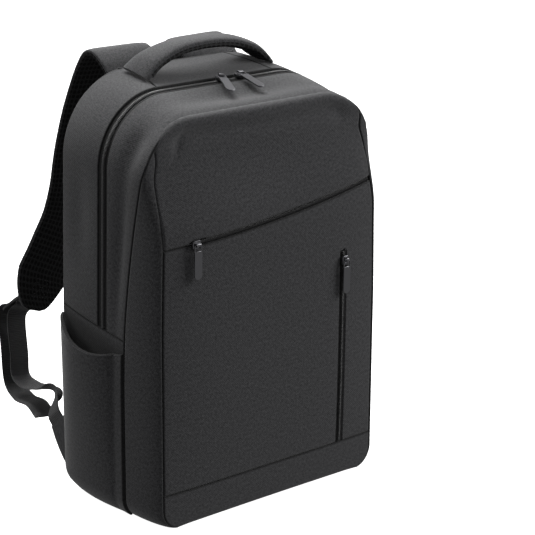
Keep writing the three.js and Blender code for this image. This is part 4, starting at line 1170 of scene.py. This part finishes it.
yoke_z = yoke_height + spread(body_height - yoke_height, 2.0) * (body_height - yoke_height)
yoke_u = spread(200.0, 3.0) * 2 - 1
yoke_x = yoke_u[None] * np.maximum(back_half(yoke_z), 75.0)[:, None]
yoke_grid = np.stack([yoke_x, 0 * yoke_x + back_y, yoke_z[:, None] + 0 * yoke_x], -1)
dress("yoke_cloth", "yoke", yoke_grid, (0, 1, 0))
strip_z = strip_foot_z + spread(strip_top_z - strip_foot_z, 3.0) * (strip_top_z - strip_foot_z)
strip_u = spread(42.0, 2.0)
for side_name, side in both_sides:
    outer = np.maximum(back_half(strip_z), pad_half + 0.8)
    x = mix(pad_half + 0 * outer[:, None], outer[:, None], strip_u[None])
    y = back_y + strip_belly * np.sin(math.pi * strip_u)[None] + 0 * x
    grid = np.stack([side * x, y, strip_z[:, None] + 0 * x], -1)
    dress(f"back_strip_{side_name}_cloth", f"back_strip_{side_name}", grid, (0, 1, 0))


# Shoulder straps
# Curved pads of foam, melange cloth outside and spacer mesh inside, bound along the edge, sewn into the
# back under the yoke. They end in folded webbing that carries the ladder lock.
strap_width = 70.0
strap_tip_width = 16.0
strap_pad_wall = 5.0
strap_mesh_wall = 2.6
strap_reach = 125.0
strap_spread = 51.0
strap_flare = 60.0
strap_taper = 0.6
# Out is a share of the strap's reach behind the back, height a share of the bag's, flare of its side
# curve, and yaw the turn of its outer edge away from the back, in degrees.
strap_path = [
    dict(out=0.03, height=0.984, flare=0.0, yaw=0.0),
    dict(out=0.11, height=1.006, flare=0.0, yaw=1.0),
    dict(out=0.22, height=1.024, flare=0.0, yaw=3.0),
    dict(out=0.3, height=1.02, flare=0.0, yaw=4.0),
    dict(out=0.4, height=0.984, flare=0.0, yaw=6.0),
    dict(out=0.6, height=0.872, flare=0.0, yaw=8.0),
    dict(out=0.75, height=0.763, flare=0.0, yaw=5.0),
    dict(out=0.83, height=0.667, flare=0.03, yaw=2.0),
    dict(out=0.88, height=0.589, flare=0.15, yaw=0.0),
    dict(out=0.92, height=0.511, flare=0.4, yaw=0.0),
    dict(out=0.955, height=0.438, flare=0.66, yaw=0.0),
    dict(out=0.97, height=0.358, flare=0.86, yaw=0.0),
]


def smooth_curve(knots, step, shares=False):
    """A Catmull-Rom curve through the knots whose pace between two of them is the square root of their
    distance, spread a step apart by length; shares also gives the share of the knots passed."""
    knots = np.asarray(knots, dtype=float)
    p = np.concatenate([2 * knots[:1] - knots[1:2], knots, 2 * knots[-1:] - knots[-2:-1]])
    pace = np.maximum(1e-6, np.sqrt(np.linalg.norm(np.diff(p, axis=0), axis=1)))[:, None]
    step_before, step_here, step_after = pace[:-2], pace[1:-1], pace[2:]
    p0, p1, p2, p3 = p[:-3], p[1:-2], p[2:-1], p[3:]
    leave = ((p1 - p0) / step_before - (p2 - p0) / (step_before + step_here)) * step_here + (p2 - p1)
    reach = (p2 - p1) + ((p3 - p2) / step_after - (p3 - p1) / (step_here + step_after)) * step_here
    u = np.linspace(0, 1, 33)[:-1][None, :, None]
    line = (p1[:, None] + leave[:, None] * u + (3 * (p2 - p1) - 2 * leave - reach)[:, None] * u ** 2
            + (2 * (p1 - p2) + leave + reach)[:, None] * u ** 3)
    line = np.concatenate([line.reshape(-1, 3), knots[-1:]])
    even = even_path(line, step)
    if not shares:
        return even
    run = run_of(line)
    return even, np.interp(np.linspace(0, run[-1], len(even)), run, np.linspace(0, 1, len(line)))


strap_line, strap_share = smooth_curve([(
    strap_spread + row["flare"] * strap_flare,
    back_y + row["out"] * strap_reach,
    row["height"] * body_height,
) for row in strap_path], 2.5, shares=True)


def band_frames(line, level=(1.0, 0.0, 0.0)):
    """Along, across and out of a flat band whose cross direction stays as level as its line allows."""
    ahead = unit(np.gradient(line, axis=0))
    level = np.broadcast_to(np.asarray(level, dtype=float), line.shape)
    across = unit(level - (level * ahead).sum(-1, keepdims=True) * ahead)
    return ahead, across, np.cross(across, ahead)


def strap_half_width(line):
    """Half the strap's width: whole, then drawn in over its last stretch as a square root to the tip."""
    run = run_of(line)
    share = np.clip((run[-1] - run) / (strap_width * strap_taper), 0, 1)
    return mix(strap_tip_width, strap_width, np.sqrt(share)) / 2


def pillow_tube(line, frames, half, low, high, around, fullness):
    """Rings of a pad along a line: their section is a flat oval, |x| ** n + |y| ** n = 1 with n the
    fullness, between two depths."""
    across, face = frames[1:]
    turn = np.linspace(0, 2 * math.pi, around + 1)[:-1]
    flat = half[:, None] * soft_power(np.cos(turn), 2 / fullness)[None]
    deep = (low + high) / 2 + soft_power(np.sin(turn), 2 / fullness) * (high - low) / 2
    return line[:, None] + across[:, None] * flat[..., None] + face[:, None] * deep[None, :, None]


def close_tube(points):
    """Points, faces and cloth map of a tube of rings with both ends closed to their middles."""
    rows, around = points.shape[:2]
    quads = ring_quads(rows, around).tolist()
    first = rows * around
    last_ring = first - around
    for j in range(around):
        beside = (j + 1) % around
        quads.append([beside, j, first])
        quads.append([last_ring + j, last_ring + beside, first + 1])
    flat = np.concatenate([points.reshape(-1, 3), points[:1].mean(1), points[-1:].mean(1)])
    ring_run = lengths(np.concatenate([points, points[:, :1]], 1), 1)[:, :-1]
    line_run = np.broadcast_to(lengths(points.mean(1, keepdims=True), 0), ring_run.shape)
    uv = np.concatenate([np.stack([ring_run, line_run], -1).reshape(-1, 2), np.zeros((2, 2))])
    return flat, quads, uv


def build_tube(name, node, points, material, seam=8.0, sharp=60.0):
    """A closed tube as one piece, a single distance from the seams all over."""
    flat, faces, uv = close_tube(points)
    made = build(name, flat, faces, material, uv, np.full(len(flat), seam), sharp)
    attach(made, "bag")
    if node:
        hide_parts(node)
    return made


def mirrored(points, side):
    """The same points on the other side of the bag, their rings turned round so that faces stay outward."""
    if side > 0:
        return points
    return (points * np.array([-1.0, 1.0, 1.0]))[:, ::-1]


strap_yaw = np.radians(np.interp(strap_share * (len(strap_path) - 1), np.arange(len(strap_path)),
                                 [row["yaw"] for row in strap_path]))
strap_frames = band_frames(strap_line, np.stack([np.cos(strap_yaw), np.sin(strap_yaw), 0 * strap_yaw], -1))
strap_half = strap_half_width(strap_line)
for side_name, side in both_sides:
    pad_points = pillow_tube(strap_line, strap_frames, strap_half, 0.0, strap_pad_wall, 44, 3.6)
    pad = build_tube(f"strap_pad_{side_name}_cover", f"strap_pad_{side_name}",
                     mirrored(pad_points, side), melange)
    lining_points = pillow_tube(strap_line, strap_frames, strap_half - 0.4, -strap_mesh_wall, 1.6, 44, 5.0)
    lining = build_tube(f"strap_mesh_{side_name}_lining", f"strap_mesh_{side_name}",
                        mirrored(lining_points, side), spacer_mesh)


# Stitched patches and ladder locks
# Where each strap ends, webbing is folded double through the lock's top bar and sewn on the outer face.
# Its stitches, a box with a cross, come through on the mesh. The lock is moulded in one piece: a frame
# with a bar across its middle and a thumb tab.
web_width = 25.0
web_wall = 1.5
patch_length = 36.0
patch_reach = 16.0
lock_length = 34.0
lock_wall = 3.2
lock_bar = 3.6
lock_tip = 12.0
lock_down = -8.0
lock_stand = 9.0
lock_tilt = math.radians(45.0)
web_lead = 6.0
web_loop = 4.0
stitch_length = 2.6
stitch_gap = 0.7
stitch_lift = 0.1
lock_slot = (lock_length - lock_tip - 3 * lock_bar) / 2
bend_radius = math.hypot(lock_bar, lock_wall) / 2 + 0.3 + web_wall / 2

webbing_tape, webbing_out = new_material("black_polyester_webbing")
# Narrow woven webbing, black with a dull gloss: rows of ribs 1.9 mm apart run across it, and its two edges
# are woven closer.
tree = webbing_tape.node_tree
web_map = add_node(tree, "ShaderNodeUVMap", uv_map="cloth")
web_parts = add_node(tree, "ShaderNodeSeparateXYZ", {0: web_map.outputs["UV"]})
web_wave = calculate(tree, "SINE", calculate(tree, "MULTIPLY", web_parts.outputs[1], 3300.0))
warp_wave = calculate(tree, "SINE", calculate(tree, "MULTIPLY", web_parts.outputs[0], 7000.0))
web_height = calculate(tree, "MULTIPLY_ADD", warp_wave, 0.35, web_wave)
web_bump = bump(tree, web_height, 0.6, 0.00035)
surface(webbing_out, {
    "Base Color": linear("#242426"),
    "Roughness": 0.55,
    "Sheen Weight": 0.2,
    "Normal": web_bump,
})

lock_plastic, lock_plastic_out = new_material("black_acetal_moulding")
# Injection-moulded acetal, black, with a fine eroded texture that scatters its reflections.
tree = lock_plastic.node_tree
plastic_place = add_node(tree, "ShaderNodeTexCoord")
spark = add_node(tree, "ShaderNodeTexNoise", {
    "Vector": plastic_place.outputs["Object"],
    "Scale": 2600.0,
    "Detail": 1.0,
})
plastic_bump = bump(tree, spark.outputs["Fac"], 0.15, 0.0002)
surface(lock_plastic_out, {
    "Base Color": linear("#18181a"),
    "Roughness": 0.42,
    "IOR": 1.48,
    "Normal": plastic_bump,
})

thread, thread_out = new_material("black_bonded_thread")
# Bonded nylon thread, black, with a soft gloss.
surface(thread_out, {
    "Base Color": linear("#2b2b2d"),
    "Roughness": 0.5,
})

strap_end_at = strap_line[-1]
strap_end_ahead, strap_end_across, strap_end_face = [part[-1] for part in strap_frames]


def pad_point(above, across, out):
    """A point over the strap's line a distance above its end, across it and out of its face."""
    run = run_of(strap_line)
    parts = (strap_line, strap_frames[1], strap_frames[2])
    middle, sideways, outward = [read_along(run[-1] - above, run, part) for part in parts]
    return middle + sideways * across + outward * out


def lock_point(down, across, out):
    """A point on the lock: down its plate from the top bar, across it, and out of its face. The lock hangs
    outside the strap's end, tilted away from it."""
    ahead_by = down * math.cos(lock_tilt) - out * math.sin(lock_tilt)
    out_by = down * math.sin(lock_tilt) + out * math.cos(lock_tilt)
    return (strap_end_at + strap_end_ahead * (lock_down + ahead_by) + strap_end_across * across
            + strap_end_face * (strap_pad_wall + lock_stand + out_by))


def half_turn(down, side, open_way):
    """Points of a half turn round a bar of the lock, from one face of its plate to the other."""
    angles = np.radians(np.linspace(-90, 90, 7))
    return [lock_point(down + open_way * bend_radius * math.cos(a), 0, side * bend_radius * math.sin(a))
            for a in angles]


def band_piece(name, node, line, across, width, wall, material, side):
    """A flat band of one width along a line, with round edges and a cross direction for each point."""
    frames = band_frames(line, across)
    points = pillow_tube(line, frames, np.full(len(line), width / 2), -wall / 2, wall / 2, 20, 9.0)
    return build_tube(name, node, mirrored(points, side), material)


def stitches(name, line, out, thick=0.5):
    """A row of stitches along a line: short bars of thread that dip into the cloth at both ends, as
    |2t - 1| ** 3, and whose middle stands a little out of it."""
    line = np.asarray(line, dtype=float)
    out = np.broadcast_to(np.asarray(out, dtype=float), line.shape)
    run = run_of(line)
    count = max(1, int(run[-1] / (stitch_length + stitch_gap)))
    starts = (np.arange(count) + 0.5) * run[-1] / count - stitch_length / 2
    t = np.linspace(0, 1, 5)
    at = starts[:, None] + t[None] * stitch_length
    middle = read_along(at, run, line)
    away = unit(read_along(at, run, out))
    ahead = unit(np.gradient(middle, axis=1))
    over = np.cross(ahead, away)
    rise = stitch_lift - (thick + stitch_lift) * np.abs(2 * t - 1) ** 3
    ring = np.arange(6) * math.pi / 3
    points = (middle + away * rise[None, :, None])[:, :, None]
    points = points + over[:, :, None] * (np.cos(ring) * thick / 2)[None, None, :, None]
    points = points + away[:, :, None] * (np.sin(ring) * thick / 2)[None, None, :, None]
    bar = ring_quads(5, 6, turned=True)
    faces = (bar[None] + (np.arange(count) * 30)[:, None, None]).reshape(-1, 4)
    made = build(name, points.reshape(-1, 3), faces, thread, sharp=80.0)
    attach(made, "bag")


patch_under = strap_pad_wall + 0.3 + web_wall / 2
patch_over = patch_under + web_wall + 0.3
patch_knots = [pad_point(above, 0, patch_under) for above in np.linspace(patch_length, patch_reach, 4)]
patch_knots += half_turn(0, 1, 1)
patch_knots += [pad_point(above, 0, patch_over) for above in np.linspace(patch_reach, patch_length, 4)]
patch_line = smooth_curve(patch_knots, 1.2)
# Corners of the sewn box, above the strap's end and across it, and the needle's way through them.
box_corners = [(35.0, -10.5), (35.0, 10.5), (15.0, 10.5), (15.0, -10.5)]
needle_way = [0, 1, 2, 3, 0, 2, 1, 3]
for side_name, side in both_sides:
    band_piece(f"strap_patch_{side_name}_webbing", f"strap_patch_{side_name}", patch_line,
               strap_end_across, web_width, web_wall, webbing_tape, side)
    for leg, (start, stop) in enumerate(zip(needle_way[:-1], needle_way[1:])):
        a, b = box_corners[start], box_corners[stop]
        for face_name, depth in [("outside", patch_over + web_wall / 2),
                                 ("inside", -strap_mesh_wall - 0.1)]:
            run = []
            out = []
            for t in np.linspace(0, 1, 9):
                above, across = mix(a[0], b[0], t), mix(a[1], b[1], t)
                run.append(pad_point(above, across, depth))
                out.append(pad_point(above, 0, np.sign(depth)) - pad_point(above, 0, 0.0))
            flip_side = np.array([side, 1, 1])
            stitches(f"strap_patch_{side_name}_{face_name}_stitches_{leg}", np.array(run) * flip_side,
                     np.array(out) * flip_side, thick=0.6 if depth > 0 else 1.1)
    lock = frame["nodes"][f"ladder_lock_{side_name}"]
    mould = bpy.data.objects.new(f"ladder_lock_{side_name}_moulding", lock.data.copy())
    mould.matrix_world = lock.matrix_world.copy()
    bpy.context.collection.objects.link(mould)
    mould.data.materials.clear()
    mould.data.materials.append(lock_plastic)
    solid = bmesh.new()
    solid.from_mesh(mould.data)
    bmesh.ops.transform(solid, matrix=mould.matrix_world, verts=solid.verts)
    bmesh.ops.remove_doubles(solid, verts=solid.verts, dist=1e-6)
    bmesh.ops.dissolve_limit(solid, angle_limit=math.radians(1), verts=solid.verts, edges=solid.edges)
    solid.to_mesh(mould.data)
    solid.free()
    mould.matrix_world = np.eye(4).tolist()
    bevel = mould.modifiers.new("moulded edges", "BEVEL")
    bevel.width = 0.0009
    bevel.segments = 4
    bevel.limit_method = "ANGLE"
    bevel.angle_limit = math.radians(28)
    mould.data.polygons.foreach_set("use_smooth", np.ones(len(mould.data.polygons), dtype=bool))
    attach(mould, "bag")
    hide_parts(f"ladder_lock_{side_name}")


# Adjusting webs and corner tabs
# Each web is sewn into a three-cornered tab of the bag's cloth low on the back seam. It rises in a loop to
# the lock, turns over its middle bar, and its free tail hangs down again.
tab_x = half_width - back_tuck - 4.0
tab_reach = 30.0
tab_seam = 52.0
tab_height = 46.0
tab_wall = 3.0
tab_rise = math.radians(48.0)
tab_along = np.array([0.0, math.cos(tab_rise), math.sin(tab_rise)])
tab_across = np.array([0.0, -math.sin(tab_rise), math.cos(tab_rise)])
tab_root = np.array([tab_x, back_y + 0.9, tab_height])
tab_end = tab_root + tab_along * tab_reach
main_route = [
    dict(out=1.11, height=0.66, inward=33.0),
    dict(out=1.05, height=0.53, inward=29.0),
    dict(out=0.86, height=0.5, inward=25.0),
    dict(out=0.58, height=0.55, inward=19.0),
    dict(out=0.33, height=0.58, inward=12.0),
]
tail_route = [
    dict(out=1.21, height=0.66, inward=30.0),
    dict(out=1.13, height=0.46, inward=27.0),
    dict(out=0.93, height=0.4, inward=22.0),
    dict(out=0.66, height=0.42, inward=16.0),
    dict(out=0.47, height=0.38, inward=11.0),
]


def route_points(rows):
    """A web's route: inward from the tab, out behind the back, height a share of the strap end's."""
    return [np.array([
        tab_x - row["inward"],
        back_y + row["out"] * strap_reach,
        row["height"] * strap_end_at[2],
    ]) for row in rows]


web_bar = lock_bar + lock_slot
web_below = 2 * web_bar + web_lead
web_knots = [tab_end + tab_along * 0.3, tab_end + tab_along * web_width * 0.4]
web_knots += route_points(main_route[::-1])
web_knots.append(lock_point(web_below, 0, -bend_radius - web_loop))
web_knots.append(lock_point(web_below - web_lead, 0, -bend_radius))
web_knots += half_turn(web_bar, 1, -1)
web_knots.append(lock_point(web_below - web_lead, 0, bend_radius))
web_knots.append(lock_point(lock_length, 0, bend_radius + web_loop))
web_knots += route_points(tail_route)
web_line, web_share = smooth_curve(web_knots, 1.5, shares=True)
at_lock = ease((0.34 - np.abs(web_share - 0.52)) / 0.08)[:, None]
at_tab = ease((0.16 - web_share) / 0.12)[:, None]
web_level = mix(np.array([[1.0, 0.0, 0.0]]), strap_end_across[None], at_lock)
web_level = unit(mix(web_level, tab_across[None], at_tab))

tab_line = tab_root + tab_along * np.linspace(0, tab_reach, 14)[:, None]
tab_share = np.linspace(0, 1, 14)
tab_line[:, 2] = mix(tab_height, tab_end[2], tab_share)
tab_upright = unit(mix(np.array([[0.0, 0.0, 1.0]]), tab_across[None], tab_share[:, None]))
tab_half = mix(tab_seam / 2, web_width / 2 + 1, tab_share)
for side_name, side in both_sides:
    band_piece(f"webbing_{side_name}_band", f"webbing_{side_name}", web_line, web_level, web_width,
               web_wall, webbing_tape, side)
    face = np.broadcast_to(np.array([1.0, 0.0, 0.0]), tab_line.shape)
    tab_points = pillow_tube(tab_line, (None, tab_upright, face), tab_half,
                             -tab_wall / 2, tab_wall / 2, 28, 7.0)
    build_tube(f"corner_tab_{side_name}_cloth", f"corner_tab_{side_name}",
               mirrored(tab_points, side), melange)


# Carrying handle
# A padded grip of melange cloth, rounded on top, wrapped round a strip of spacer mesh underneath. Its two
# flat feet are sewn down on the top band.
handle_span = 164.0
handle_shift = 6.0
handle_rise = 27.0
handle_width = 38.0
handle_wall = 10.0
handle_mesh_wall = 3.4
handle_y = back_y - 32.0
handle_seat = -0.1
handle_path = [
    dict(along=-1.0, rise=0.0, wall=0.6, width=1.1),
    dict(along=-0.95, rise=0.13, wall=0.7, width=1.08),
    dict(along=-0.8, rise=0.47, wall=0.9, width=1.0),
    dict(along=-0.45, rise=0.87, wall=1.0, width=0.9),
    dict(along=0.0, rise=1.0, wall=1.0, width=0.88),
]
handle_path += [dict(row, along=-row["along"]) for row in handle_path[-2::-1]]


def corner_fall(x):
    """How far the top has dropped at x under the handle: r - sqrt(r^2 - d^2), d the way into the corner."""
    corner = mix(back_corner, front_corner, (back_y - handle_y) / top_depth)
    inside = np.maximum(0, np.abs(x) - (half_width - corner - lean(top_at(handle_y))))
    return corner - np.sqrt(corner ** 2 - inside ** 2)


handle_knots = []
for row in handle_path:
    x = handle_shift + row["along"] * handle_span / 2
    lift = handle_wall * row["wall"] / 2 + row["rise"] * (handle_rise - handle_wall / 2)
    seat = top_at(handle_y) + handle_seat - corner_fall(x) * (1 - row["rise"])
    handle_knots.append((x, handle_y, seat + lift))
handle_line, handle_share = smooth_curve(handle_knots, 2.0, shares=True)
handle_at = handle_share * (len(handle_path) - 1)
handle_read = {key: np.interp(handle_at, np.arange(len(handle_path)), [row[key] for row in handle_path])
               for key in ("rise", "wall", "width")}
handle_ahead = unit(np.gradient(handle_line, axis=0))
handle_up = np.stack([-handle_ahead[:, 2], 0 * handle_ahead[:, 2], handle_ahead[:, 0]], -1)


def handle_tube(pick, half, low, high, around, upper, lower):
    """A length of the handle: its section is a superellipse, softer above than below, and its feet follow
    the slope of the bag's top."""
    turn = np.linspace(0, 2 * math.pi, around + 1)[:-1]
    power = np.where(np.sin(turn) >= 0, 2 / upper, 2 / lower)
    flat = soft_power(np.cos(turn), power)
    thick = soft_power(np.sin(turn), power)
    edge = mix(low, high, 0.45)
    lift = np.where(thick[None] >= 0, edge[:, None] + thick[None] * (high - edge)[:, None],
                    edge[:, None] + thick[None] * (edge - low)[:, None])
    y = flat[None] * half[:, None]
    slope = (top_at(handle_y + y) - top_at(handle_y)) * (1 - handle_read["rise"][pick])[:, None]
    points = handle_line[pick][:, None] + handle_up[pick][:, None] * lift[..., None]
    points[..., 1] += y
    points[..., 2] += slope
    return points


whole = slice(0, len(handle_line))
grip_wall = handle_read["wall"] * handle_wall
grip_half = handle_read["width"] * handle_width / 2
grip = handle_tube(whole, grip_half, -grip_wall / 2, grip_wall / 2, 48, 2.5, 4.5)
handle_cover = build_tube("handle_grip_cover", "handle_grip", grip[:, ::-1], melange)
arch = np.nonzero((handle_share > 0.12) & (handle_share < 0.88))[0]
under = -grip_wall[arch] / 2
lining = handle_tube(arch, grip_half[arch] + 0.2, under + 0.6 - handle_mesh_wall, under + 5.5, 40, 6.0, 2.0)
handle_lining = build_tube("handle_mesh_lining", "handle_mesh", lining[:, ::-1], spacer_mesh)


# Side pocket
# An open pocket of melange cloth on the bag's left side. Its mouth, hemmed round an elastic, stands away
# from the side panel, and its other edges are caught in the seams.
pocket_height = 196.0
pocket_sag = 14.0
pocket_stand = 15.0
pocket_wall = 1.6
pocket_rim = 0.9
pocket_hem = 9.0
pocket_k = spread(106.0, 2.2)
pocket_v = spread(190.0, 2.5)


def pocket_face(k, v, out_by):
    """The pocket's face: k from the back seam to the front one, v from the foot to the rim. It stands off
    the side panel by sin(pi k) ** 0.6 times v ** 0.7, and the rim sags by sin(pi k) and falls forward."""
    sag = pocket_sag * (np.sin(math.pi * k) + 1.3 * k)
    foot = mix(base_corner_back, base_corner_front, k)
    seam = mix(side_seam_back, side_seam_front, k)
    rim = 10 - (pocket_height - sag - foot) / (seam - foot)
    s = mix(10.6, rim, v)
    share = mix(0.01, 0.99, k)
    a, normal = back_seam(s)
    b = front_seam(s)[0]
    crown = 2.0 * np.sin(math.pi * share) - dent_depth(side_dents, s, share)
    crown = crown * np.minimum(1, 1 + normal[..., 2])
    mouth = np.maximum(0, np.sin(math.pi * np.minimum(1, k * 1.15)))
    slack = 1.6 * np.sin(2.6 * math.pi * v + 2.2 * k) * np.sin(math.pi * k) * v * (1 - v) * 2
    out = crown + 0.6 + pocket_stand * mouth ** 0.6 * v ** 0.7 + pocket_wall + slack + out_by
    return mix(a, b, share[..., None]) + normal * out[..., None]


kk, vv = np.meshgrid(pocket_k, pocket_v)
dress("side_pocket_cloth", "side_pocket", pocket_face(kk, vv, 0.0), (-1, 0, 0), wall=pocket_wall)
rim_k = np.linspace(0.02, 0.98, 90)
rim_even = even_path(pocket_face(rim_k, 0 * rim_k + 0.995, -pocket_wall / 2), 1.2)
rim_frames = band_frames(rim_even, (-1.0, 0.0, 0.0))
rim_points = pillow_tube(rim_even, rim_frames, np.full(len(rim_even), pocket_rim),
                         -pocket_rim, pocket_rim, 16, 2.0)
# Its seam field of 2 mm paints the hem a little darker, as painted shade along the pocket's mouth.
build_tube("side_pocket_hem", None, rim_points, melange, seam=2.0)
hem_v = 0 * rim_k + 1 - pocket_hem / 170.0
hem_out = unit(pocket_face(rim_k, hem_v, 1.0) - pocket_face(rim_k, hem_v, 0.0))
stitches("side_pocket_hem_stitches", pocket_face(rim_k, hem_v, 0.05), hem_out)
